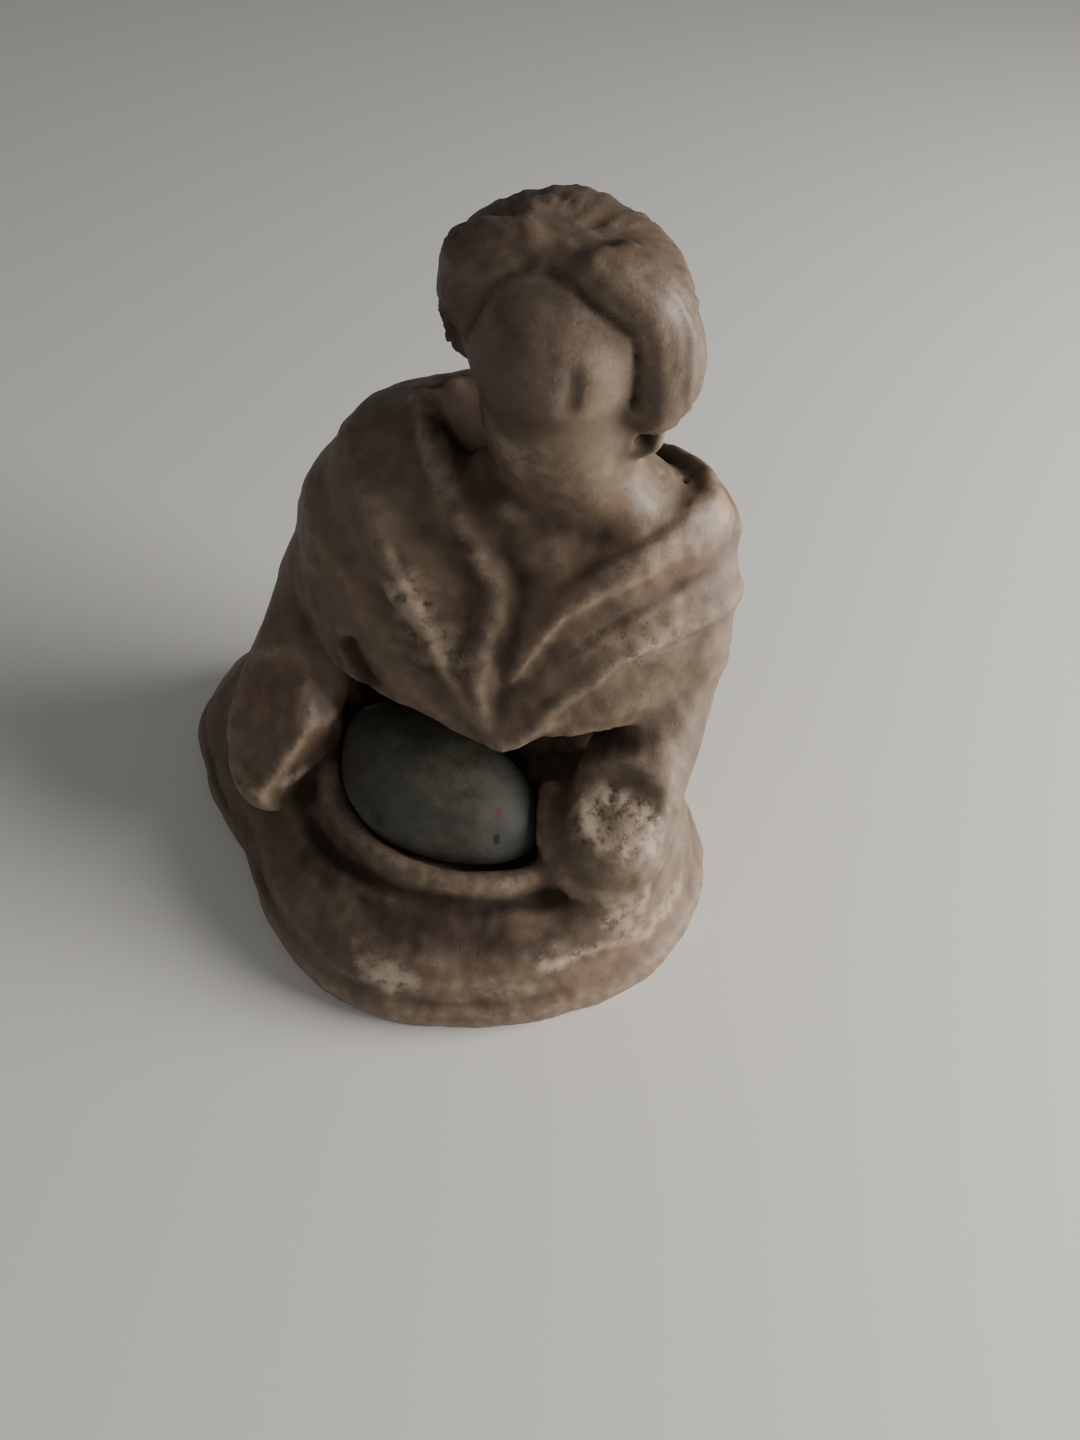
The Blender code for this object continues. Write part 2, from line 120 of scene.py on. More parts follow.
# Smaller creases between the folds, in the same terms
LEFT_CREASES = (
    (0.70, 0.028, 0.32, 0.58, 44), (0.88, 0.030, -0.35, 0.55, 34), (0.46, 0.030, 0.25, 0.36, 50),
    (0.30, 0.028, -0.20, 0.20, 60), (0.17, 0.03, 0.20, 0.05, 60),
)
RIGHT_CREASES = (
    (0.80, 0.030, -0.30, 0.44, 26), (0.62, 0.030, 0.35, 0.46, 32), (0.42, 0.030, -0.35, 0.44, 36),
    (0.32, 0.028, 0.28, 0.30, 40), (0.18, 0.03, 0.20, 0.08, 40),
)
REAR_CREASES = ((0.24, 0.03, 0.25, 0, 1), (0.58, 0.035, 0.3, 0, 1), (0.88, 0.03, 0.2, 0, 1))

# The shawl's rolled edge, from behind the left shoulder along the neckline and down the seam
ROLLED_EDGE = (
    (-4.8, 8.6, 61.8, 1.5), (-2.4, 3.6, 60.9, 1.7), (0.3, 0.8, 57.8, 1.8), (2.6, -0.4, 54.8, 1.8),
    (4.6, -1.2, 51.4, 1.8), (6.4, -1.8, 49.0, 1.7), (6.5, -2.8, 46.8, 1.6), (5.8, -3.6, 43.6, 1.6),
    (5.3, -4.5, 40.6, 1.5), (5.1, -5.4, 37.3, 1.4), (6.0, -6.2, 33.6, 1.1),
)


def spline(points, count, closed=False):
    """A curve through the points: a cubic Hermite whose slopes come from each point's neighbours."""
    points = np.asarray(points, float)
    if closed:
        padded = np.vstack([points[-1:], points, points[:2]])
        spans = len(points)
    else:
        padded = np.vstack([2 * points[0] - points[1], points, 2 * points[-1] - points[-2]])
        spans = len(points) - 1
    at = np.linspace(0, spans, count, endpoint=not closed)
    span = np.minimum(at.astype(int), spans - 1)
    t = (at - span)[:, None]
    before, start, end, after = (padded[span + shift] for shift in range(4))
    slope_in, slope_out = (end - before) / 2, (after - start) / 2
    return (
        (2 * t**3 - 3 * t**2 + 1) * start
        + (t**3 - 2 * t**2 + t) * slope_in
        + (-2 * t**3 + 3 * t**2) * end
        + (t**3 - t**2) * slope_out
    )


def around(table, angles):
    """Values of a table of (degrees, values...) rows at the given angles, smooth all the way round."""
    rows = np.asarray(table, float)
    dense = spline(np.column_stack([np.arange(len(rows)), rows[:, 1:]]), 720, closed=True)[:, 1:]
    degrees = np.append(rows[:, 0], rows[0, 0] + 360)
    places = np.interp(np.linspace(0, len(rows), 720, endpoint=False), np.arange(len(degrees)), degrees)
    turned = (np.degrees(angles) - rows[0, 0]) % 360 + rows[0, 0]
    return np.column_stack([np.interp(turned, places, dense[:, c]) for c in range(dense.shape[1])])


def bump(angles, centre, width):
    """A smooth hill round one direction, 1 at its centre, both in degrees."""
    away = (np.degrees(angles) - centre + 180) % 360 - 180
    return np.exp(-((away / width) ** 2))


def lumps(points, size, seed, waves=22):
    """Soft noise from -1 to 1: a sum of sine waves about size long, in directions drawn from the seed."""
    draw = np.random.default_rng(seed)
    ways = draw.normal(size=(waves, 3))
    ways /= np.linalg.norm(ways, axis=1)[:, None]
    lengths = size * draw.uniform(0.7, 1.5, waves)
    phases = draw.uniform(0, 2 * math.pi, waves)
    flat = np.asarray(points, float).reshape(-1, 3)
    total = np.zeros(len(flat))
    for way, length, phase in zip(ways, lengths, phases):
        total += np.sin(flat @ way * (2 * math.pi / length) + phase)
    return (total / math.sqrt(waves / 2) / 2.2).reshape(np.asarray(points).shape[:-1]).clip(-1, 1)


def ridges(across, turn, folds):
    """The height of the folds at a place between hem and neckline in each direction: a sum of
    hills, whose middles sink towards the front seam."""
    return sum(
        height * np.exp(-(((across - place + sink * bump(turn, FRONT_SEAM, spread)) / width) ** 2))
        for place, width, height, sink, spread in folds
    )


def skin(rows):
    """Vertices and faces of a closed skin: a stack of rings, with a point in the middle of each end."""
    rows = np.asarray(rows, float)
    count, sides = rows.shape[:2]
    verts = np.vstack([rows.reshape(-1, 3), rows[0].mean(0), rows[-1].mean(0)])
    low = np.arange(sides)
    high = np.roll(low, -1)
    steps = (np.arange(count - 1) * sides)[:, None]
    quads = np.stack([low + steps, high + steps, high + steps + sides, low + steps + sides], -1)
    top = (count - 1) * sides
    ends = np.full(sides, count * sides)
    caps = np.vstack([
        np.column_stack([high, low, ends]),
        np.column_stack([low + top, high + top, ends + 1]),
    ])
    return verts, quads.reshape(-1, 4).tolist() + caps.tolist()


def egg(centre, radii, turn=(0, 0, 0)):
    """An ellipsoid as rings round its upright axis, then turned by degrees and put in its place."""
    down = np.linspace(0.02, math.pi - 0.02, 110)[:, None]
    round_ = np.linspace(0, 2 * math.pi, 220, endpoint=False)[None, :]
    points = np.stack([
        np.sin(down) * np.cos(round_), np.sin(down) * np.sin(round_), np.cos(down) + 0 * round_,
    ], -1) * np.array(radii)
    spin = np.array(Euler([math.radians(a) for a in turn]).to_matrix())
    return skin(points @ spin.T + np.array(centre))


def tube(stations, flats=(), sides=90, steps=150):
    """A tube of changing thickness along a smooth curve, with round ends. Each station is x, y, z
    and radius. A flat is a place, an outward direction and a reach: near the place, the clay is
    pressed back to that plane."""
    line = spline(stations, steps)
    centres, radii = line[:, :3], line[:, 3]
    tangents = np.gradient(centres, axis=0)
    tangents /= np.linalg.norm(tangents, axis=1)[:, None]
    side = np.cross(tangents, (0.0, 0.3, 1.0))
    side /= np.linalg.norm(side, axis=1)[:, None]
    top = np.cross(side, tangents)
    slip = np.sin(np.linspace(-math.pi / 2 * 0.97, 0, 14))[:-1]
    small = np.sqrt(1 - slip**2)
    first = centres[0] + tangents[0] * radii[0] * slip[:, None]
    last = centres[-1] - tangents[-1] * radii[-1] * slip[::-1, None]
    centres = np.vstack([first, centres, last])
    radii = np.concatenate([radii[0] * small, radii, radii[-1] * small[::-1]])
    ends = [np.repeat(a[:1], 13, 0) for a in (side, top)], [np.repeat(a[-1:], 13, 0) for a in (side, top)]
    side = np.vstack([ends[0][0], side, ends[1][0]])
    top = np.vstack([ends[0][1], top, ends[1][1]])
    turn = np.linspace(0, 2 * math.pi, sides, endpoint=False)[None, :]
    rows = centres[:, None] + radii[:, None, None] * (
        np.cos(turn)[..., None] * side[:, None] + np.sin(turn)[..., None] * top[:, None]
    )
    for place, outward, far in flats:
        outward = np.array(outward) / np.linalg.norm(outward)
        pressed = np.clip((far - np.linalg.norm(rows - place, axis=-1)) / 2.0, 0.0, 1.0)
        rows -= (pressed * np.maximum((rows - place) @ outward, 0.0))[..., None] * outward
    return skin(rows)


def seat():
    """Foot, folded legs and dish: a profile of rings carried up the side, over the lap, over the
    dish's rim and down to its floor, with a smooth curve through the rings at every direction."""
    turn = np.linspace(0, 2 * math.pi, 420, endpoint=False)
    direction = np.column_stack([np.cos(turn), np.sin(turn)])
    reach = around(SEAT_OUTLINE, turn)[:, 0]
    left_knee, right_knee = bump(turn, 160, 38), bump(turn, 352, 40)
    knees = 4.0 * left_knee + 4.2 * right_knee + 3.0 * bump(turn, 90, 42)

    def foot_ring(share, height):
        flat = np.array(SEAT_CENTRE) + direction * (reach * share)[:, None]
        return np.column_stack([flat, np.full(len(turn), height)])

    def dish_ring(radius, height):
        flat = np.array(DISH_CENTRE) + direction * radius
        return np.column_stack([flat, np.full(len(turn), height)])

    side = [
        foot_ring(0.88, -3.0), foot_ring(0.955, -0.4), foot_ring(0.985, 1.2), foot_ring(1.0, 3.2),
        foot_ring(0.990, FOOT_THICKNESS - 1.3), foot_ring(0.962, FOOT_THICKNESS - 0.4),
        foot_ring(0.946, FOOT_THICKNESS + 0.2), foot_ring(0.940, FOOT_THICKNESS + 1.2),
    ]
    edge, inner = foot_ring(0.922, 9.6), dish_ring(DISH_RIM_RADIUS + 1.9, 14.8)
    edge[:, 2] -= 1.8 * bump(turn, 270, 62)
    lap = []
    for step in np.linspace(0, 1, 9)[:-1]:
        ring = edge + (inner - edge) * step
        shin = math.exp(-(((step - 0.2) / 0.16) ** 2)) * bump(turn, 290, 55)
        ring[:, 2] += knees * math.sin(math.pi * step**0.75) + 0.7 * shin + 0.4 * math.sin(math.pi * step)
        lap.append(ring)
    dish = [
        inner,
        dish_ring(DISH_RIM_RADIUS + 1.3, DISH_RIM_HEIGHT - 1.6),
        dish_ring(DISH_RIM_RADIUS + 0.8, DISH_RIM_HEIGHT - 0.4),
        dish_ring(DISH_RIM_RADIUS - 0.1, DISH_RIM_HEIGHT + 0.1),
        dish_ring(DISH_RIM_RADIUS - 1.4, DISH_RIM_HEIGHT - 0.3),
        dish_ring(DISH_RIM_RADIUS - 2.5, DISH_FLOOR_HEIGHT + 1.0),
        dish_ring(DISH_RIM_RADIUS - 6.0, DISH_FLOOR_HEIGHT + 0.3),
        dish_ring(DISH_RIM_RADIUS - 13.0, DISH_FLOOR_HEIGHT),
    ]
    for ring in dish:
        ring[:, 2] += 0.5 * (left_knee + right_knee) - 0.4 * bump(turn, 270, 60)
    rows = np.array(side + lap + dish)
    return skin(spline(rows.reshape(len(rows), -1), 190).reshape(190, len(turn), 3))


def torso():
    """The upper body from lap to neck: ellipses, each x, y, z, half width and half depth, and two
    balls that fill the chest and the bare shoulder behind the shawl's opening."""
    line = spline(
        (
            (4.0, 13.5, 6.0, 23.0, 13.0),
            (4.0, 13.8, 14.0, 22.5, 12.0),
            (4.2, 13.6, 24.0, 20.8, 10.8),
            (4.6, 12.6, 33.0, 18.6, 10.0),
            (6.0, 10.0, 44.0, 16.5, 9.2),
            (9.4, 8.0, 52.0, 14.6, 7.8),
            (13.4, 6.8, 57.0, 11.0, 7.0),
            (11.6, 4.9, 61.0, 8.2, 6.9),
            (10.7, 3.0, 64.6, 7.2, 6.5),
            (10.3, 1.7, 68.4, 7.0, 6.4),
            (10.1, 1.1, 72.0, 7.1, 6.3),
        ),
        160,
    )
    turn = np.linspace(0, 2 * math.pi, 200, endpoint=False)
    x, y, z, wide, deep = (column[:, None] for column in line.T)
    rows = np.stack([x + wide * np.cos(turn), y + deep * np.sin(turn), z + 0 * turn], -1)
    return [
        skin(rows),
        egg((11.6, 3.2, 52.5), (8.2, 5.6, 5.5)),
        egg((6.0, 3.4, 55.5), (6.0, 4.6, 6.5)),
        egg((17.0, 4.4, 52.6), (7.6, 5.2, 4.8), (0, -24, 0)),
    ]


def shawl():
    """A capelet round the shoulders. Each direction has one curved section from hem to neckline,
    and folds of two sizes run round it and draw together towards the front seam."""
    turn = np.linspace(0, 2 * math.pi, 760, endpoint=False)
    direction = np.column_stack([np.cos(turn), np.sin(turn)])
    hem_r, hem_z, pull_r, pull_z, neck_r, neck_z = around(SHAWL_SECTIONS, turn).T
    centre = np.array(SHAWL_CENTRE)
    rear = bump(turn, 90, 75)

    def ring(reach, height):
        flat = centre + direction * np.maximum(reach, 0.5)[:, None]
        return np.column_stack([flat, height])

    inside = [
        ring(np.full(len(turn), 4.0), np.full(len(turn), 36.0)),
        ring(hem_r * 0.72, hem_z + 2.6),
        ring(hem_r - 1.6, hem_z + 0.6),
        ring(hem_r - 0.5, hem_z - 0.1),
    ]
    outside = []
    for s in np.linspace(0, 1, 150):
        reach = (1 - s) ** 2 * hem_r + 2 * s * (1 - s) * pull_r + s**2 * neck_r
        height = (1 - s) ** 2 * hem_z + 2 * s * (1 - s) * pull_z + s**2 * neck_z
        on_left = 1 / (1 + np.exp((np.degrees(turn) - FRONT_SEAM - SEAM_LEAN * s) / 2.0))
        wander = s + 0.012 * np.sin(5 * turn + 4 * s) + 0.008 * np.sin(13 * turn - 3 * s + 1)
        uneven = 0.75 + 0.35 * np.sin(4 * turn + 7 * s)
        for share, broad, fine in (
            ((1 - rear) * on_left, LEFT_FOLDS, LEFT_CREASES),
            ((1 - rear) * (1 - on_left), RIGHT_FOLDS, RIGHT_CREASES),
            (rear, REAR_FOLDS, REAR_CREASES),
        ):
            reach = reach + share * (ridges(wander, turn, broad) + uneven * ridges(wander, turn, fine))
        outside.append(ring(reach, height))
    lip = [
        ring(neck_r - 0.7, neck_z + 0.35),
        ring(neck_r - 1.4, neck_z + 0.1),
        ring(neck_r - 2.2, neck_z - 1.8),
        ring(neck_r * 0.35, neck_z * 0.25 + 38.0),
    ]
    return [skin(inside + outside + lip), tube(ROLLED_EDGE)]


def arms():
    """Both arms come out under the hem and end in mitten hands on the rim of the dish, the right one
    with a finger curled along the rim."""
    left = tube(
        (
            (-9.0, 10.0, 46.0, 6.5), (-15.4, 8.2, 38.5, 6.2), (-18.0, 5.6, 31.5, 5.8),
            (-19.3, -0.4, 24.8, 6.6), (-19.3, -5.0, 21.6, 7.0), (-18.6, -8.6, 19.0, 6.6),
        ),
        flats=(
            ((-19.0, -8.2, 24.8), (-0.25, -0.62, 0.74), 9.0),
            ((-15.6, -9.4, 19.5), (0.87, -0.48, -0.05), 11.0),
        ),
    )
    right = tube(
        (
            (20.0, 8.0, 48.0, 7.5), (24.2, 7.6, 41.0, 7.0), (25.2, 6.0, 33.0, 5.9),
            (24.6, 1.0, 26.0, 6.2), (23.4, -4.8, 21.3, 6.8), (*RIGHT_HAND, 7.2),
        ),
        flats=(((22.8, -10.5, 24.2), (0.0, -0.2, 0.98), 7.0),),
    )
    finger = tube((
        (14.9, -6.0, 20.4, 1.9), (15.4, -9.0, 19.8, 2.0), (16.6, -12.2, 18.4, 2.0),
        (19.4, -14.6, 17.0, 2.0), (23.4, -15.2, 16.4, 2.0), (26.8, -13.4, 16.2, 1.8),
    ))
    return [left, right, finger, egg((19.5, -5.0, 18.4), (5.8, 7.2, 4.3))]


def head():
    """A smooth blank egg for the face, under a cap of hair that is parted over the brow, and the
    stub of clay under the lock."""
    return [
        egg(FACE_CENTRE, FACE_RADII, FACE_TURN),
        egg((9.4, 6.8, 77.2), (11.0, 9.5, 8.1)),
        egg((3.4, 5.2, 76.6), (4.8, 6.0, 6.2)),
        egg((16.3, 5.0, 75.6), (5.6, 6.2, 7.2)),
        egg((9.8, 9.6, 72.4), (8.4, 6.4, 6.6)),
        egg((4.6, 1.8, 80.2), (4.2, 4.4, 4.2)),
        egg((14.6, 1.6, 79.8), (6.2, 5.0, 4.6)),
        egg((7.8, 3.0, 83.4), (3.0, 4.2, 1.9), (20, 0, 12)),
        egg((18.0, 2.2, 67.2), (2.6, 2.2, 2.3)),
        tube((
            (8.9, -0.9, 83.9, 1.9), (5.6, -0.6, 83.8, 2.7), (3.3, 0.5, 82.4, 3.3),
            (2.2, 1.2, 79.6, 2.9), (1.7, 2.0, 76.8, 2.4), (1.9, 3.0, 74.0, 1.8),
        )),
        tube((
            (9.2, -0.9, 83.9, 1.9), (12.7, -1.5, 83.7, 2.8), (16.9, -0.5, 81.7, 3.5),
            (18.9, 0.3, 78.6, 3.2), (19.6, 0.8, 75.5, 3.2), (19.6, 1.2, 73.1, 3.2), (19.2, 1.4, 71.3, 2.7),
        )),
    ]


def fused(parts):
    """The parts' union as one object, whose skin is made of even small squares."""
    verts, faces, start = [], [], 0
    for places, polygons in parts:
        verts.append(places)
        faces += [[i + start for i in polygon] for polygon in polygons]
        start += len(places)
    mesh = bpy.data.meshes.new("clay_forms")
    mesh.from_pydata((np.vstack(verts) * MM).tolist(), [], faces)
    made = bpy.data.objects.new("figurine_body", mesh)
    bpy.context.scene.collection.objects.link(made)
    fuse = made.modifiers.new("fuse", "REMESH")
    fuse.mode = "VOXEL"
    fuse.voxel_size = SKIN_VOXEL * MM
    graph = bpy.context.evaluated_depsgraph_get()
    made.data = bpy.data.meshes.new_from_object(made.evaluated_get(graph))
    made.modifiers.clear()
    bpy.data.meshes.remove(mesh)
    return made


def places_of(mesh):
    """The mesh's vertex places in millimetres."""
    flat = np.empty(len(mesh.vertices) * 3)
    mesh.vertices.foreach_get("co", flat)
    return flat.reshape(-1, 3) / MM


def normals_of(mesh):
    """The mesh's vertex normals."""
    flat = np.empty(len(mesh.vertices) * 3)
    mesh.vertex_normals.foreach_get("vector", flat)
    return flat.reshape(-1, 3)


def put_places(mesh, places):
    """Writes vertex places in millimetres into the mesh."""
    mesh.vertices.foreach_set("co", (places * MM).ravel())
    mesh.update()


def edges_of(mesh):
    """The two ends of every edge."""
    flat = np.empty(len(mesh.edges) * 2, dtype=np.int32)
    mesh.edges.foreach_get("vertices", flat)
    return flat.reshape(-1, 2)


def relaxed(values, edges, rounds, share=1.0):
    """Values averaged with their neighbours along the edges, round after round."""
    values = np.array(values, float)
    columns = values.reshape(len(values), -1)
    count = np.bincount(edges.ravel(), minlength=len(columns))[:, None]
    for _ in range(rounds):
        total = np.column_stack([
            np.bincount(edges[:, 0], column[edges[:, 1]], len(columns))
            + np.bincount(edges[:, 1], column[edges[:, 0]], len(columns))
            for column in columns.T
        ])
        columns = columns + share * (total / np.maximum(count, 1) - columns)
    return columns.reshape(values.shape)


def filled(places, edges, normals, rounds, share):
    """Hollows filled softly, as pressed clay fills them: each point moves outwards, never inwards,
    by a share of the way to the average of its surroundings."""
    rise = ((relaxed(places, edges, rounds) - places) * normals).sum(1)
    return places + normals * (share * np.maximum(rise, 0))[:, None]


def near(points, path, reach):
    """For the points within reach of a smooth path: which they are, how far from it they lie, and
    the nearest place's share of the way along."""
    line = spline(path, 14 * len(path))
    box = (points > line.min(0) - reach).all(1) & (points < line.max(0) + reach).all(1)
    which = np.nonzero(box)[0]
    start, span = line[:-1], np.diff(line, axis=0)
    away = points[which, None] - start[None]
    t = ((away * span).sum(-1) / np.maximum((span**2).sum(-1), 1e-9)).clip(0, 1)
    far = np.linalg.norm(away - t[..., None] * span, axis=-1)
    best = far.argmin(1)
    rows = np.arange(len(which))
    return which, far[rows, best], (best + t[rows, best]) / len(span)


def stroke(points, path, width, height, taper=0.25):
    """How far a stroke along a path moves each point outwards: a hill across the path, that fades
    over the taper's share at both ends."""
    moved = np.zeros(len(points))
    which, far, share = near(points, path, STROKE_REACH * width)
    ends = np.clip(np.minimum(share, 1 - share) / taper, 0, 1)
    moved[which] = height * np.exp(-((far / width) ** 2)) * (ends * ends * (3 - 2 * ends))
    return moved


def hair_share(points):
    """1 on the hair and 0 on face and neck: what lies outside the face's egg and above a line that
    dips towards the nape and the lock."""
    spin = np.array(Euler([math.radians(a) for a in FACE_TURN]).to_matrix())
    local = (points - np.array(FACE_CENTRE)) @ spin / np.array(FACE_RADII)
    outside = np.clip((np.linalg.norm(local, axis=1) - 1.03) / 0.07, 0, 1)
    x, y, z = points.T
    lowest = 71.0 - 2.4 * np.clip((x - 16.5) / 1.5, 0, 1) - 4.5 * np.clip((y - 4.0) / 4.0, 0, 1)
    return outside * np.clip((z - lowest) / 0.8, 0, 1)


def strand_wave(place, seed):
    """Rounded ridges with sharp valleys and uneven widths, one to each unit of the place."""
    uneven = place + 0.32 * np.sin(1.7 * place + seed) + 0.16 * np.sin(4.1 * place + 2 * seed)
    return np.abs(np.sin(math.pi * uneven)) ** 0.65 - 0.7


def hair_strands(points):
    """How far the strands of hair move each point outwards. Over the crown and on the left they run
    from the parting to the nape: a wave of the direction round that axis. On the right they follow
    the hairline: a wave of the distance from it."""
    moved = np.zeros(len(points))
    share = hair_share(points)
    which = np.nonzero(share > 0)[0]
    places = points[which]
    axis = np.subtract(NAPE, PARTING)
    axis = axis / np.linalg.norm(axis)
    side = np.cross(axis, (1.0, 0.0, 0.0))
    side /= np.linalg.norm(side)
    away = places - np.array(PARTING)
    across, up = away @ side, away @ np.cross(side, axis)
    direction = np.degrees(np.arctan2(across, up)) + 5 * lumps(places, 9.0, 3)
    spread = np.clip((np.hypot(across, up) - 1.5) / 5.0, 0, 1)
    back = spread * (strand_wave(direction / 11, 1.0) + 0.35 * strand_wave(direction / 4.3, 2.0))
    line = spline(RIGHT_HAIRLINE, 50)
    far = np.linalg.norm(places[:, None] - line[None], axis=-1).min(1) + 0.3 * lumps(places, 6.0, 4)
    down = strand_wave(far / 1.7, 0.4) + 0.35 * strand_wave(far / 0.75, 1.4)
    right = np.clip((places[:, 0] - 10.5) / 3.0, 0, 1) * np.clip((5.0 - places[:, 1]) / 4.0, 0, 1)
    depth = 0.34 * (0.8 + 0.35 * lumps(places, 5.0, 5))
    moved[which] = share[which] * depth * (right * down + (1 - right) * back)
    return moved


# The dark gap between the left arm and the hem
UNDER_LEFT_HEM = ((-10.8, -4.0, 38.4), (-9.9, -4.6, 36.4), (-8.5, -5.2, 34.4), (-7.0, -5.2, 31.6))

# Strokes that work the clay: path, width, height, and the share of the length that fades at each end
SHAWL_STROKES = (
    # the soft crease above the right side's neckline, and the valley where both sides meet
    (((24, 3.6, 58.6), (20, -0.2, 56.8), (15.6, -2.2, 54.0), (11.5, -3.2, 50.2)), 0.6, -0.35, 0.25),
    (((9.3, -2.4, 50.1), (9.1, -3.6, 46.2), (8.2, -5.5, 38.6), (7.4, -7.4, 31)), 0.6, -0.25, 0.15),
    # scraped streaks on the left side
    (((-8.2, 0.9, 56.9), (-7.0, -1.4, 53.0), (-4.5, -3.3, 50.2)), 0.5, 0.25, 0.25),
    (((-7.0, -2.6, 49.6), (-4.6, -4.4, 46.0), (-1.4, -5.0, 42.5), (2.6, -5.6, 37.6)), 0.5, 0.3, 0.25),
    (((-5.4, -1.8, 53.4), (-3.2, -3.9, 49.0), (-1.6, -4.5, 46.8)), 0.35, -0.3, 0.25),
    # creases on the right side
    (((28.0, 5.0, 52.0), (22.7, -1.2, 50.2), (17.5, -3.4, 46.5), (13.2, -4.8, 41.0)), 0.5, -0.35, 0.25),
    (((26.5, 1.4, 44.5), (20.5, -3.0, 42.6), (14.5, -5.0, 38.0), (10.4, -6.4, 34)), 0.45, -0.3, 0.25),
    (((27.8, 3.0, 48.0), (21.5, -2.0, 47.0), (16.0, -4.0, 43.5)), 0.5, 0.25, 0.25),
    (UNDER_LEFT_HEM, 1.0, -1.2, 0.1),
)

HAIR_STROKES = (
    (LEFT_HAIRLINE, 0.34, -0.45, 0.1),
    (RIGHT_HAIRLINE, 0.40, -0.7, 0.06),
    # the parting and the grooves that leave it to the left
    (((8.9, -2.9, 84.4), (6.8, -2.7, 84.9), (5.0, -2.2, 85.7), (3.6, -1.6, 85.7)), 0.4, -0.5, 0.2),
    (((7.2, -2.8, 84.5), (4.9, -3.0, 83.9), (2.7, -2.6, 82.2), (1.0, -1.3, 79.1)), 0.4, -0.2, 0.25),
    # the raised wave behind the parting and the hollow on its right
    (((8.6, -2.6, 85.0), (7.6, -1.0, 86.2), (6.6, 3.0, 85.8), (6.6, 7.0, 84.6)), 1.1, 0.5, 0.25),
    (((10.4, -1.0, 86.2), (12.6, -0.6, 86.4), (15.0, 0.4, 85.6)), 1.3, -0.6, 0.25),
)

LAP_STROKES = (
    # the groove round the outside of the dish's rim, deepest on the left
    ((
        (-17.5, -12.7, 17.4), (-14.6, -14.2, 14.4), (-8.2, -18.4, 14.4), (0.1, -20.7, 14.8),
        (7.4, -20.6, 14.8), (13.6, -18.4, 14.8), (18.6, -15.8, 14.6),
    ), 1.0, -0.9, 0.08),
    (((-16.0, -12.6, 16.4), (-14.0, -14.0, 14.6), (-8.2, -18.2, 14.6), (-2.0, -20.4, 14.8)), 1.0, -0.7, 0.25),
    # the thin raised edge where the left hand ends
    (((-18.6, -13.8, 19.4), (-16.6, -10.9, 18.6), (-14.6, -8.0, 19.4), (-13.4, -5.0, 20.4)), 0.5, 0.4, 0.25),
    # streaks of a finger over the lap and along the foot
    ((
        (-11.2, -26.9, 5.6), (-2.7, -28.5, 7.6), (4.6, -28.2, 8.2), (13.6, -25.6, 9.1), (20.2, -22.6, 9.6),
    ), 0.6, 0.25, 0.25),
    ((
        (-36.4, 3.0, 5.7), (-31.0, -6.0, 5.7), (-22.4, -15.6, 5.6), (-12.0, -24.6, 5.6), (0.1, -29.1, 5.6),
    ), 0.45, -0.5, 0.1),
    ((
        (-8.0, -26.6, 5.6), (0.1, -29.1, 5.6), (8.4, -28.7, 5.8), (17.4, -25.8, 5.8), (30.3, -15.4, 5.9),
    ), 0.4, -0.3, 0.25),
    (((-10.0, -26.6, 3.6), (0.1, -30.2, 3.8), (10.0, -29.4, 3.8), (18.4, -26.8, 3.8)), 0.35, -0.2, 0.25),
    (((17.0, -22.6, 11.0), (22.0, -20.0, 11.0), (27.0, -16.0, 10.6)), 0.6, 0.25, 0.25),
    # the line between the right hand and the knee
    (((29.6, -3.6, 24.0), (30.2, -8.0, 19.0), (29.0, -13.0, 16.0), (26.0, -16.6, 14.4)), 0.5, -0.4, 0.25),
)


def patch(points, centre, radii, ragged=0.35, seed=1):
    """A mask that is 1 in an ellipsoid round the centre and falls to 0 at a ragged edge."""
    far = np.linalg.norm((points - np.array(centre)) / np.array(radii), axis=1)
    edge = far + ragged * lumps(points, 2.4, seed) + 0.5 * ragged * lumps(points, 0.9, seed + 50)
    return np.clip((1.08 - edge) / 0.22, 0, 1)


def pits(points, normals, spots):
    """Small round holes: each spot is a place, a radius and a depth."""
    moved = np.zeros(len(points))
    for place, radius, depth in spots:
        far = np.linalg.norm(points - np.array(place), axis=1)
        moved -= depth * np.exp(-((far / radius) ** 4))
        moved += 0.25 * depth * np.exp(-(((far - 1.5 * radius) / (0.5 * radius)) ** 2))
    return moved


def paint(mesh, name, values):
    """Writes one number a vertex into the mesh for the materials to read."""
    layer = mesh.attributes.new(name, "FLOAT", "POINT")
    layer.data.foreach_set("value", np.clip(values, 0, 1).astype(np.float32))


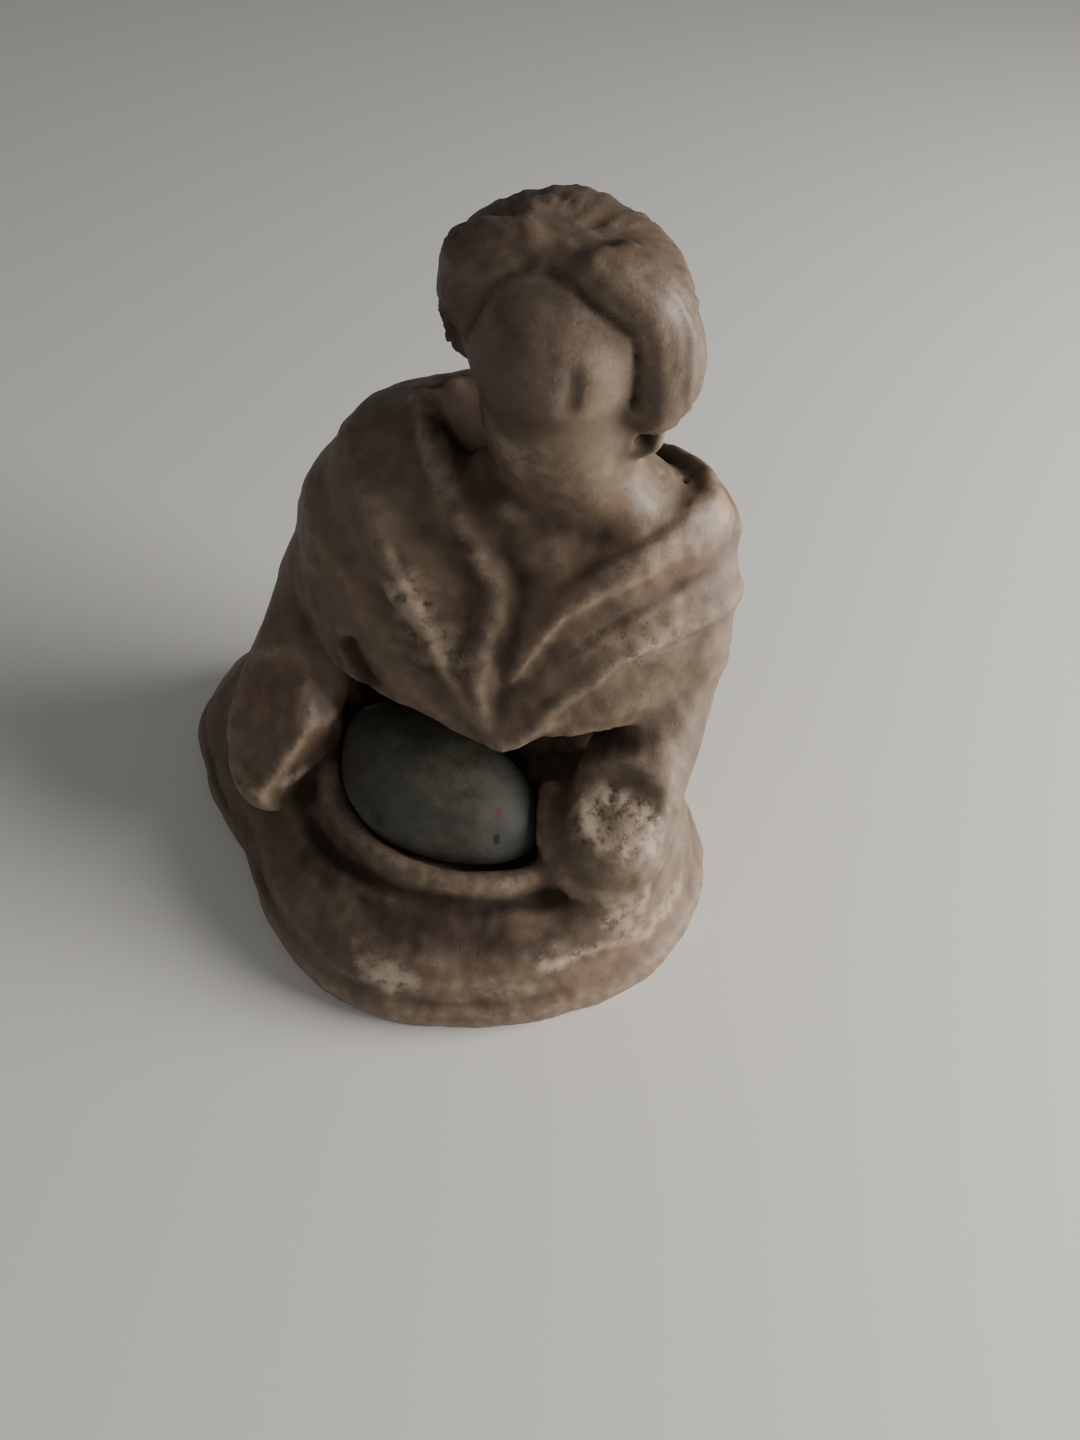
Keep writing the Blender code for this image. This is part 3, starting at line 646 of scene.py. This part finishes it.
def clay_body():
    """The whole figure as one worked skin, with masks for wear, bare patches and painted shade (partly
    grime).
    """
    made = fused([seat(), *torso(), *shawl(), *arms(), *head()])
    mesh = made.data
    edges = edges_of(mesh)
    places = relaxed(places_of(mesh), edges, 2, 0.5)
    put_places(mesh, places)
    for rounds, share in ((20, 0.8), (8, 0.6)):
        places = filled(places, edges, normals_of(mesh), rounds, share)
        put_places(mesh, places)

    knot = patch(places, (6.8, 0.0, 85.4), (7.0, 5.5, 3.6), 0.0)
    places = places + (relaxed(places, edges, 40) - places) * knot[:, None] * 0.8
    put_places(mesh, places)

    for strokes in (SHAWL_STROKES, HAIR_STROKES, LAP_STROKES):
        moved = sum(stroke(places, *work) for work in strokes)
        places = places + normals_of(mesh) * moved[:, None]
        put_places(mesh, places)

    normals = normals_of(mesh)
    places = places + normals * hair_strands(places)[:, None]
    put_places(mesh, places)

    normals = normals_of(mesh)
    face = patch(places, (9.6, -3.6, 74.5), (8.6, 6.0, 10.5), 0.0)
    chipped = patch(places, (23.2, -10.4, 24.0), (5.4, 4.4, 3.2), 0.28, 7)
    rough = 1 - 0.85 * face
    moved = 0.16 * lumps(places, 6.5, 11) * rough + 0.07 * lumps(places, 2.6, 12) * rough
    moved += 0.035 * lumps(places, 1.3, 13) * rough
    moved += chipped * (0.40 * lumps(places, 4.4, 21) + 0.05 * lumps(places, 1.5, 22) - 0.30)
    curl = patch(places, (0.2, 0.8, 75.2), (2.0, 3.0, 2.6), 0.4, 23)
    moved += curl * (0.45 * lumps(places, 2.2, 24) + 0.2 * lumps(places, 1.1, 25))
    moved += pits(places, normals, (
        ((22.8, 8.4, 58.3), 0.45, 0.7), ((20.4, 6.0, 60.2), 0.35, 0.5), ((21.4, 12.4, 57.0), 0.3, 0.4),
        ((-1.1, -4.3, 46.1), 0.5, 0.5), ((-3.7, -4.3, 46.9), 0.6, 0.5), ((3.4, -3.5, 45.2), 0.45, 0.4),
        ((18.8, 0.2, 68.0), 0.9, 0.9), ((21.9, -7.9, 24.8), 0.6, 0.6),
    ))
    dent = stroke(places, FACE_DENT, 0.8, -FACE_DENT_DEPTH)
    places = places + normals * (moved + dent)[:, None]
    places = seated(places)
    places[:, 2] = np.maximum(places[:, 2], 0.0)
    put_places(mesh, places)

    normals = normals_of(mesh)
    fine = ((relaxed(places, edges, 6) - places) * normals).sum(1)
    broad = ((relaxed(places, edges, 60) - places) * normals).sum(1)
    # Painted shade, partly grime: the hollow mask grows darker the deeper a point lies below its
    # surroundings.
    hollow = np.clip(fine / 0.10, 0, 1) * 0.5 + np.clip(broad / 0.8, 0, 1) * 0.9
    # Patches of painted shade: behind the neck, under the lock, in the curl, on the chest, round the outside
    # of the dish's rim, under the left hem and under the right hem.
    hollow = np.maximum.reduce([
        hollow,
        patch(places, (-0.6, 9.8, 59.4), (5.2, 8.0, 5.4), 0.2, 81),
        patch(places, (18.8, 0.6, 67.8), (1.8, 1.8, 1.8), 0.3, 82),
        0.9 * curl,
        0.8 * patch(places, (4.0, 0.4, 56.0), (3.4, 4.0, 6.0), 0.5, 83),
        0.75 * patch(places, (-10.0, -17.0, 14.0), (7.0, 5.0, 2.6), 0.4, 85),
        0.9 * patch(places, (7.0, -22.6, 13.2), (13.0, 3.6, 2.2), 0.4, 87),
        0.6 * patch(places, (22.5, -18.4, 12.4), (5.6, 3.8, 2.6), 0.4, 88),
        stroke(places, UNDER_LEFT_HEM, 2.2, 1.2, 0.1),
        0.9 * patch(places, (21.0, -1.0, 29.0), (6.5, 3.4, 3.0), 0.4, 89),
    ])
    worn = np.clip(-fine / 0.08 - 0.4, 0, 1) * 0.7 + np.clip(-broad / 1.8 - 0.2, 0, 1) * 0.3
    worn *= 1 - 0.6 * hair_share(places)
    bare = np.maximum.reduce([
        0.7 * chipped,
        0.8 * patch(places, (23.6, -7.7, 25.3), (3.6, 0.8, 0.9), 0.5, 29),
        0.5 * patch(places, (27.2, -10.4, 23.6), (1.2, 3.0, 1.6), 0.5, 30),
        1.0 * patch(places, (0.9, -28.0, 8.4), (4.0, 2.2, 1.4), 0.6, 31),
        0.8 * patch(places, (21.0, -22.0, 10.6), (4.6, 2.0, 0.8), 0.6, 33),
        0.6 * patch(places, (27.0, -17.6, 10.6), (3.6, 2.4, 1.4), 0.8, 34),
        0.6 * patch(places, (31.0, -12.0, 9.4), (3.0, 4.6, 1.6), 0.8, 35),
        0.5 * patch(places, (26.0, -15.6, 14.0), (3.0, 2.4, 2.4), 0.7, 37),
        0.35 * patch(places, (16.0, -26.0, 7.6), (5.0, 1.6, 0.9), 0.8, 38),
        0.45 * patch(places, (-2.6, -4.6, 46.4), (2.6, 3.0, 3.0), 0.9, 39),
        0.4 * patch(places, (0.6, -5.6, 40.6), (3.8, 2.6, 2.4), 0.9, 40),
        0.35 * patch(places, (22.0, -2.0, 44.6), (6.0, 3.0, 2.6), 0.9, 47),
        0.45 * patch(places, (7.4, -3.4, 66.6), (3.0, 2.6, 1.8), 0.8, 49),
        0.7 * patch(places, (-17.0, -10.6, 18.8), (1.4, 1.8, 1.2), 0.8, 51),
    ])
    # Painted shade on the face's left side, the lap below the rim and on its left, the shawl's right side,
    # the hair's right side and inside the face's dent; the hair darker all over, partly its own tone and
    # partly painted shade on its lit top; two dark marks by the chin.
    painted_shade_and_marks = np.maximum.reduce([
        np.abs(dent) / FACE_DENT_DEPTH * 0.9,
        0.8 * patch(places, (5.2, -3.2, 70.6), (1.3, 2.4, 0.9), 0.6, 41),
        0.7 * patch(places, (7.0, -4.2, 69.9), (1.5, 2.4, 0.7), 0.6, 42),
        0.65 * patch(places, (3.6, -0.8, 73.6), (3.4, 4.0, 6.4), 0.5, 44),
        0.5 * patch(places, (8.0, -5.0, 74.6), (5.2, 4.0, 6.0), 0.4, 43),
        0.4 * patch(places, (-4.0, -15.6, 17.6), (14.0, 6.0, 3.0), 0.4, 47),
        0.35 * patch(places, (28.0, 3.6, 52.0), (3.4, 7.0, 5.0), 0.5, 48),
        0.3 * patch(places, (-24.0, -8.0, 9.0), (14.0, 18.0, 7.0), 0.4, 50),
        0.3 * patch(places, (17.0, 0.0, 84.0), (5.0, 6.0, 5.0), 0.4, 52),
        0.32 * hair_share(places),
        0.3 * patch(places, (6.0, -24.0, 12.0), (12.0, 3.6, 2.6), 0.6, 46),
    ])
    paint(mesh, "hollow", relaxed(hollow, edges, 2))
    paint(mesh, "worn", relaxed(worn, edges, 1))
    paint(mesh, "bare", relaxed(bare, edges, 1))
    paint(mesh, "painted_shade_and_marks", relaxed(painted_shade_and_marks, edges, 2))
    paint(mesh, "warm", 0.4 * patch(places, (27.4, 6.4, 57.4), (1.2, 1.8, 1.2), 0.6, 45))
    mesh.shade_smooth()
    return made


def pebble_local(points):
    """The points in the pebble's own upright frame, with its lean taken out."""
    spin = np.array(Euler([math.radians(a) for a in PEBBLE_TURN]).to_matrix())
    x, y, z = ((points - np.array(PEBBLE_CENTRE)) @ spin).T / (np.array(PEBBLE_SIZE)[:, None] / 2)
    return np.column_stack([x - PEBBLE_LEAN * y * PEBBLE_SIZE[1] / PEBBLE_SIZE[0], y, z])


def seated(points):
    """The points that lie within 0.3 mm of the pebble, pushed out from its centre until clear."""
    local = pebble_local(points)
    flat = (np.abs(local[:, :2]) ** PEBBLE_BLUNT).sum(1) ** (1 / PEBBLE_BLUNT)
    depth = np.sqrt(flat**2 + local[:, 2] ** 2)
    away = points - np.array(PEBBLE_CENTRE)
    far = np.linalg.norm(away, axis=1)
    surface = far / np.maximum(depth, 1e-6)
    short = np.maximum(surface * 1.03 + SEAT_CLEARANCE - far, 0)
    return points + away / np.maximum(far, 1e-6)[:, None] * short[:, None]


def pebble_stone():
    """The pebble: a blunt ellipsoid that leans in plan and narrows to one end, with soft hollows.
    The plan's blunt outline is a circle pushed out to a curve of a power a little over 2."""
    down = np.linspace(0.01, math.pi - 0.01, 130)[:, None]
    round_ = np.linspace(0, 2 * math.pi, 260, endpoint=False)[None, :]
    x, y = np.sin(down) * np.cos(round_), np.sin(down) * np.sin(round_)
    z = np.cos(down) + 0 * round_
    blunt = np.hypot(x, y) / (np.abs(x) ** PEBBLE_BLUNT + np.abs(y) ** PEBBLE_BLUNT) ** (1 / PEBBLE_BLUNT)
    x, y = x * blunt, y * blunt
    half = np.array(PEBBLE_SIZE) / 2
    local = np.stack([
        x * half[0] + PEBBLE_LEAN * y * half[1],
        y * half[1] * (1 - 0.15 * x),
        z * half[2] * (1 - 0.06 * x),
    ], -1)
    local *= 1 + 0.006 * (lumps(local, 7.0, 61) - 1)[..., None]
    spin = np.array(Euler([math.radians(a) for a in PEBBLE_TURN]).to_matrix())
    verts, faces = skin(local[::-1] @ spin.T + np.array(PEBBLE_CENTRE))
    mesh = bpy.data.meshes.new("lap_pebble")
    mesh.from_pydata((verts * MM).tolist(), [], faces)
    made = bpy.data.objects.new("lap_pebble", mesh)
    bpy.context.scene.collection.objects.link(made)
    mesh.update()
    red = patch(verts, (9.4, -11.2, 21.4), (0.5, 0.9, 1.6), 0.4, 63)
    rust = 0.4 * patch(verts, (-8.6, -10.5, 22.6), (1.2, 1.6, 1.6), 0.5, 65)
    dark = np.maximum.reduce([
        patch(verts, (10.0, -4.4, 22.8), (0.7, 0.8, 1.2), 0.3, 67),
        patch(verts, (9.8, -13.8, 20.4), (0.5, 0.6, 1.4), 0.3, 69),
        0.7 * patch(verts, (-4.0, -15.2, 20.6), (0.6, 0.7, 1.2), 0.3, 71),
    ])
    paint(mesh, "red", np.maximum(red, rust))
    paint(mesh, "dark", dark)
    # Painted light: the pebble's right end, which faces the light, made paler.
    paint(mesh, "painted_lit_end", np.clip((verts[:, 0] - 6.5) / 8.0, 0, 1))
    mesh.shade_smooth()
    return made


def node(tree, kind, where, **values):
    """A node of a kind at a place in the tree, with its settings and its inputs' values."""
    made = tree.nodes.new(kind)
    made.location = where
    for key, value in values.items():
        if key in made.inputs:
            made.inputs[key].default_value = value
        else:
            setattr(made, key, value)
    return made


def grain_group():
    """Grain for clay and stone: a height of fine bumps, a mask of blotches and one of a few speckles.
    Position is in metres, and both sizes are noise scales, so a higher one is finer."""
    tree = bpy.data.node_groups.new("earthen_grain", "ShaderNodeTree")
    face = tree.interface
    face.new_socket("Position", in_out="INPUT", socket_type="NodeSocketVector")
    face.new_socket("Grain size", in_out="INPUT", socket_type="NodeSocketFloat").default_value = 1800.0
    face.new_socket("Blotch size", in_out="INPUT", socket_type="NodeSocketFloat").default_value = 160.0
    face.new_socket("Height", in_out="OUTPUT", socket_type="NodeSocketFloat")
    face.new_socket("Blotches", in_out="OUTPUT", socket_type="NodeSocketFloat")
    face.new_socket("Speckles", in_out="OUTPUT", socket_type="NodeSocketFloat")
    enter = node(tree, "NodeGroupInput", (-900, 0))
    leave = node(tree, "NodeGroupOutput", (500, 0))
    link = tree.links.new
    fine = node(tree, "ShaderNodeTexNoise", (-500, 200), Detail=6.0, Roughness=0.6)
    broad = node(tree, "ShaderNodeTexNoise", (-500, -50), Detail=8.0, Roughness=0.66)
    dots = node(tree, "ShaderNodeTexVoronoi", (-500, -320), feature="F1")
    link(enter.outputs["Position"], fine.inputs["Vector"])
    link(enter.outputs["Position"], broad.inputs["Vector"])
    link(enter.outputs["Position"], dots.inputs["Vector"])
    link(enter.outputs["Grain size"], fine.inputs["Scale"])
    link(enter.outputs["Blotch size"], broad.inputs["Scale"])
    sparse = node(tree, "ShaderNodeMath", (-720, -320), operation="MULTIPLY")
    sparse.inputs[1].default_value = 0.5
    link(enter.outputs["Grain size"], sparse.inputs[0])
    link(sparse.outputs[0], dots.inputs["Scale"])
    spot = node(tree, "ShaderNodeMapRange", (-250, -320))
    for place, value in enumerate((0.0, 0.2, 1.0, 0.0), 1):
        spot.inputs[place].default_value = value
    link(dots.outputs["Distance"], spot.inputs["Value"])
    few = node(tree, "ShaderNodeMath", (-250, -520), operation="GREATER_THAN")
    few.inputs[1].default_value = 0.72
    parts = node(tree, "ShaderNodeSeparateColor", (-400, -520))
    link(dots.outputs["Color"], parts.inputs["Color"])
    link(parts.outputs["Red"], few.inputs[0])
    kept = node(tree, "ShaderNodeMath", (0, -400), operation="MULTIPLY")
    link(spot.outputs["Result"], kept.inputs[0])
    link(few.outputs[0], kept.inputs[1])
    link(fine.outputs["Fac"], leave.inputs["Height"])
    link(broad.outputs["Fac"], leave.inputs["Blotches"])
    link(kept.outputs[0], leave.inputs["Speckles"])
    return tree


def mixed(tree, where, factor, first, second, how="MIX"):
    """A colour mix. The factor and both colours are sockets or plain values."""
    made = node(tree, "ShaderNodeMix", where, data_type="RGBA", blend_type=how)
    for socket, value in ((made.inputs[0], factor), (made.inputs[6], first), (made.inputs[7], second)):
        if isinstance(value, bpy.types.NodeSocket):
            tree.links.new(value, socket)
        else:
            socket.default_value = value
    return made.outputs[2]


def sum_of(tree, where, kind, first, second, clamp=True):
    """Arithmetic on two sockets or values, clamped to 0 and 1."""
    made = node(tree, "ShaderNodeMath", where, operation=kind, use_clamp=clamp)
    for socket, value in zip(made.inputs, (first, second)):
        if isinstance(value, bpy.types.NodeSocket):
            tree.links.new(value, socket)
        else:
            socket.default_value = value
    return made.outputs[0]


def ranged(tree, where, value, low, high, out_low=0.0, out_high=1.0):
    """A value's share of the way from low to high, as a new range."""
    made = node(tree, "ShaderNodeMapRange", where)
    for place, number in enumerate((low, high, out_low, out_high), 1):
        made.inputs[place].default_value = number
    tree.links.new(value, made.inputs[0])
    return made.outputs[0]


def mask(tree, where, name):
    """A mask that was painted on the mesh's vertices."""
    return node(tree, "ShaderNodeAttribute", where, attribute_name=name).outputs["Fac"]


def clay_finish(grain):
    """Unglazed hand-smoothed clay: mottled taupe, painted shade in the hollows (partly grime) and on the
    shaded sides, pale rubbed ridges, bare pale patches, and a faint waxy gloss where hands have polished it."""
    made = bpy.data.materials.new("worked_clay")
    made.use_nodes = True
    tree = made.node_tree
    link = tree.links.new
    shader = tree.nodes["Principled BSDF"]
    shader.inputs["Specular IOR Level"].default_value = 0.38
    place = node(tree, "ShaderNodeTexCoord", (-1900, 0)).outputs["Object"]
    body = node(tree, "ShaderNodeGroup", (-1600, 100), node_tree=grain)
    body.inputs["Grain size"].default_value = 1900.0
    body.inputs["Blotch size"].default_value = 210.0
    link(place, body.inputs["Position"])
    wide = node(tree, "ShaderNodeTexNoise", (-1600, -200), Scale=48.0, Detail=4.0, Roughness=0.55)
    link(place, wide.inputs["Vector"])
    ragged = node(tree, "ShaderNodeTexNoise", (-1600, -450), Scale=700.0, Detail=6.0, Roughness=0.68)
    link(place, ragged.inputs["Vector"])

    tone = mixed(tree, (-1300, 200), ranged(tree, (-1450, 300), body.outputs["Blotches"], 0.34, 0.68),
                 (0.088, 0.059, 0.037, 1), (0.155, 0.109, 0.073, 1))
    tone = mixed(tree, (-1100, 200), ranged(tree, (-1300, -100), wide.outputs["Fac"], 0.46, 0.70, 0.0, 0.5),
                 tone, (0.160, 0.096, 0.060, 1))
    tone = mixed(tree, (-900, 200), sum_of(tree, (-1100, 0), "MULTIPLY", body.outputs["Speckles"], 0.55),
                 tone, (0.040, 0.026, 0.017, 1))
    edge = ranged(tree, (-1300, -450), ragged.outputs["Fac"], 0.36, 0.60)
    rubbed = sum_of(tree, (-1100, -400), "MULTIPLY", mask(tree, (-1300, -650), "worn"), edge)
    rubbed = sum_of(tree, (-950, -400), "MULTIPLY", rubbed, 0.7)
    tone = mixed(tree, (-700, 200), rubbed, tone, (0.285, 0.215, 0.155, 1))
    # Painted shade, partly grime: the hollow mask darkens creases, recesses and shaded gaps to near black.
    shade_and_dirt = sum_of(tree, (-900, -700), "MULTIPLY", mask(tree, (-1300, -850), "hollow"),
                  ranged(tree, (-1100, -800), body.outputs["Blotches"], 0.2, 0.6, 0.65, 1.0))
    tone = mixed(tree, (-500, 200), shade_and_dirt, tone, (0.026, 0.016, 0.010, 1))
    chalk = sum_of(tree, (-900, -1000), "MULTIPLY", mask(tree, (-1300, -1050), "bare"),
                   ranged(tree, (-1100, -1050), ragged.outputs["Fac"], 0.38, 0.50))
    tone = mixed(tree, (-300, 200), chalk, tone, (0.340, 0.268, 0.200, 1))
    # Painted shade on the shaded sides, in the face's dent and below the dish's rim, and two dark marks by
    # the chin.
    tone = mixed(tree, (-150, 100), mask(tree, (-500, -1050), "painted_shade_and_marks"), tone, (0.048, 0.030, 0.020, 1))
    tone = mixed(tree, (0, 100), mask(tree, (-300, -1050), "warm"), tone, (0.420, 0.210, 0.070, 1))
    link(tone, shader.inputs["Base Color"])

    gloss = ranged(tree, (-700, -200), body.outputs["Blotches"], 0.35, 0.70, 0.44, 0.62)
    gloss = sum_of(tree, (-500, -200), "ADD", gloss, sum_of(tree, (-700, -350), "MULTIPLY", shade_and_dirt, 0.5))
    gloss = sum_of(tree, (-300, -200), "ADD", gloss, sum_of(tree, (-500, -350), "MULTIPLY", chalk, 0.25))
    link(gloss, shader.inputs["Roughness"])
    bumps = sum_of(tree, (-900, -500), "MULTIPLY", body.outputs["Height"], 0.35)
    height = sum_of(tree, (-700, -550), "ADD", bumps,
                    sum_of(tree, (-900, -600), "MULTIPLY", ragged.outputs["Fac"], 0.8), clamp=False)
    height = sum_of(tree, (-500, -550), "SUBTRACT", height,
                    sum_of(tree, (-700, -700), "MULTIPLY", body.outputs["Speckles"], 0.35), clamp=False)
    relief = node(tree, "ShaderNodeBump", (-200, -450), Strength=0.5, Distance=0.0002)
    link(height, relief.inputs["Height"])
    link(relief.outputs["Normal"], shader.inputs["Normal"])
    return made


def stone_finish(grain):
    """A water-worn dark grey-green stone: faint speckles, small rusty and black spots, a right end painted
    paler as if lit, satin.
    """
    made = bpy.data.materials.new("river_stone")
    made.use_nodes = True
    tree = made.node_tree
    link = tree.links.new
    shader = tree.nodes["Principled BSDF"]
    shader.inputs["Specular IOR Level"].default_value = 0.35
    place = node(tree, "ShaderNodeTexCoord", (-1500, 0)).outputs["Object"]
    body = node(tree, "ShaderNodeGroup", (-1250, 100), node_tree=grain)
    body.inputs["Grain size"].default_value = 2400.0
    body.inputs["Blotch size"].default_value = 330.0
    link(place, body.inputs["Position"])
    tone = mixed(tree, (-950, 200), ranged(tree, (-1100, 300), body.outputs["Blotches"], 0.36, 0.68),
                 (0.027, 0.026, 0.018, 1), (0.056, 0.054, 0.039, 1))
    tone = mixed(tree, (-750, 200), sum_of(tree, (-950, 0), "MULTIPLY", body.outputs["Speckles"], 0.4),
                 tone, (0.090, 0.086, 0.066, 1))
    # Painted light on the pebble's lit right end.
    pale = sum_of(tree, (-800, -100), "MULTIPLY", mask(tree, (-950, -200), "painted_lit_end"), 0.35)
    tone = mixed(tree, (-600, 200), pale, tone, (0.105, 0.115, 0.110, 1))
    tone = mixed(tree, (-450, 200), mask(tree, (-650, -250), "red"), tone, (0.075, 0.022, 0.012, 1))
    tone = mixed(tree, (-300, 200), mask(tree, (-500, -250), "dark"), tone, (0.012, 0.010, 0.008, 1))
    link(tone, shader.inputs["Base Color"])
    gloss = ranged(tree, (-600, -50), body.outputs["Blotches"], 0.35, 0.70, 0.46, 0.64)
    link(gloss, shader.inputs["Roughness"])
    relief = node(tree, "ShaderNodeBump", (-300, -350), Strength=0.3, Distance=0.00012)
    link(body.outputs["Height"], relief.inputs["Height"])
    link(relief.outputs["Normal"], shader.inputs["Normal"])
    return made


def pale_floor():
    """A plain pale matt surface to stand on."""
    mesh = bpy.data.meshes.new("pale_floor")
    reach = 1.2
    corners = [(-reach, -reach, 0), (reach, -reach, 0), (reach, reach, 0), (-reach, reach, 0)]
    mesh.from_pydata(corners, [], [(0, 1, 2, 3)])
    made = bpy.data.objects.new("pale_floor", mesh)
    bpy.context.scene.collection.objects.link(made)
    finish = bpy.data.materials.new("pale_board")
    finish.use_nodes = True
    shader = finish.node_tree.nodes["Principled BSDF"]
    shader.inputs["Base Color"].default_value = (0.68, 0.665, 0.63, 1)
    shader.inputs["Roughness"].default_value = 0.6
    mesh.materials.append(finish)


def soft_light(name, place, target, size, power, colour):
    """A square soft light at a place, turned to its target."""
    lamp = bpy.data.lights.new(name, "AREA")
    lamp.energy = power
    lamp.size = size
    lamp.color = colour
    made = bpy.data.objects.new(name, lamp)
    made.location = place
    made.rotation_euler = (Vector(target) - Vector(place)).to_track_quat("-Z", "Y").to_euler()
    bpy.context.scene.collection.objects.link(made)


def light_the_scene():
    """A big soft window light from the right, a weak wide one in front, and a dim even sky."""
    sky = bpy.data.worlds.new("dim_sky")
    sky.use_nodes = True
    sky.node_tree.nodes["Background"].inputs["Color"].default_value = (0.92, 0.93, 0.95, 1)
    sky.node_tree.nodes["Background"].inputs["Strength"].default_value = 0.15
    bpy.context.scene.world = sky
    soft_light("window", (0.43, 0.04, 0.15), (0, 0, 0.03), 0.30, 5.0, (1.0, 0.97, 0.93))
    soft_light("room", (-0.06, -0.42, 0.40), (0, 0, 0.03), 0.50, 0.45, (1.0, 0.98, 0.95))


def place_camera():
    """The photograph's viewpoint: above and in front, a wide lens, rolled by a few degrees."""
    turn, tilt, roll = (math.radians(a) for a in (9.3, 50.0, 5.0))
    wide = math.radians(67.3)
    lens = bpy.data.cameras.new("viewpoint")
    made = bpy.data.objects.new("viewpoint", lens)
    bpy.context.scene.collection.objects.link(made)
    lens.sensor_width = 36.0
    lens.lens = 18.0 / math.tan(wide / 2)
    lens.clip_start = 0.001
    away = Vector((math.sin(turn), -math.cos(turn), 0))
    ahead = Vector((-away.x * math.cos(tilt), -away.y * math.cos(tilt), -math.sin(tilt)))
    right = Vector((math.cos(turn), math.sin(turn), 0))
    up = right.cross(ahead)
    rolled_right = right * math.cos(roll) + up * math.sin(roll)
    rolled_up = up * math.cos(roll) - right * math.sin(roll)
    pose = Matrix((rolled_right, rolled_up, -ahead)).transposed().to_4x4()
    pose.translation = Vector((25.0, -82.5, 126.1)) * MM
    made.matrix_world = pose
    bpy.context.scene.camera = made


grain = grain_group()
body = clay_body()
body.data.materials.append(clay_finish(grain))
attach(body, "root")
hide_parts("figure")

pebble = pebble_stone()
pebble.data.materials.append(stone_finish(grain))
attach(pebble, "root")
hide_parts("pebble")

pale_floor()
light_the_scene()
place_camera()
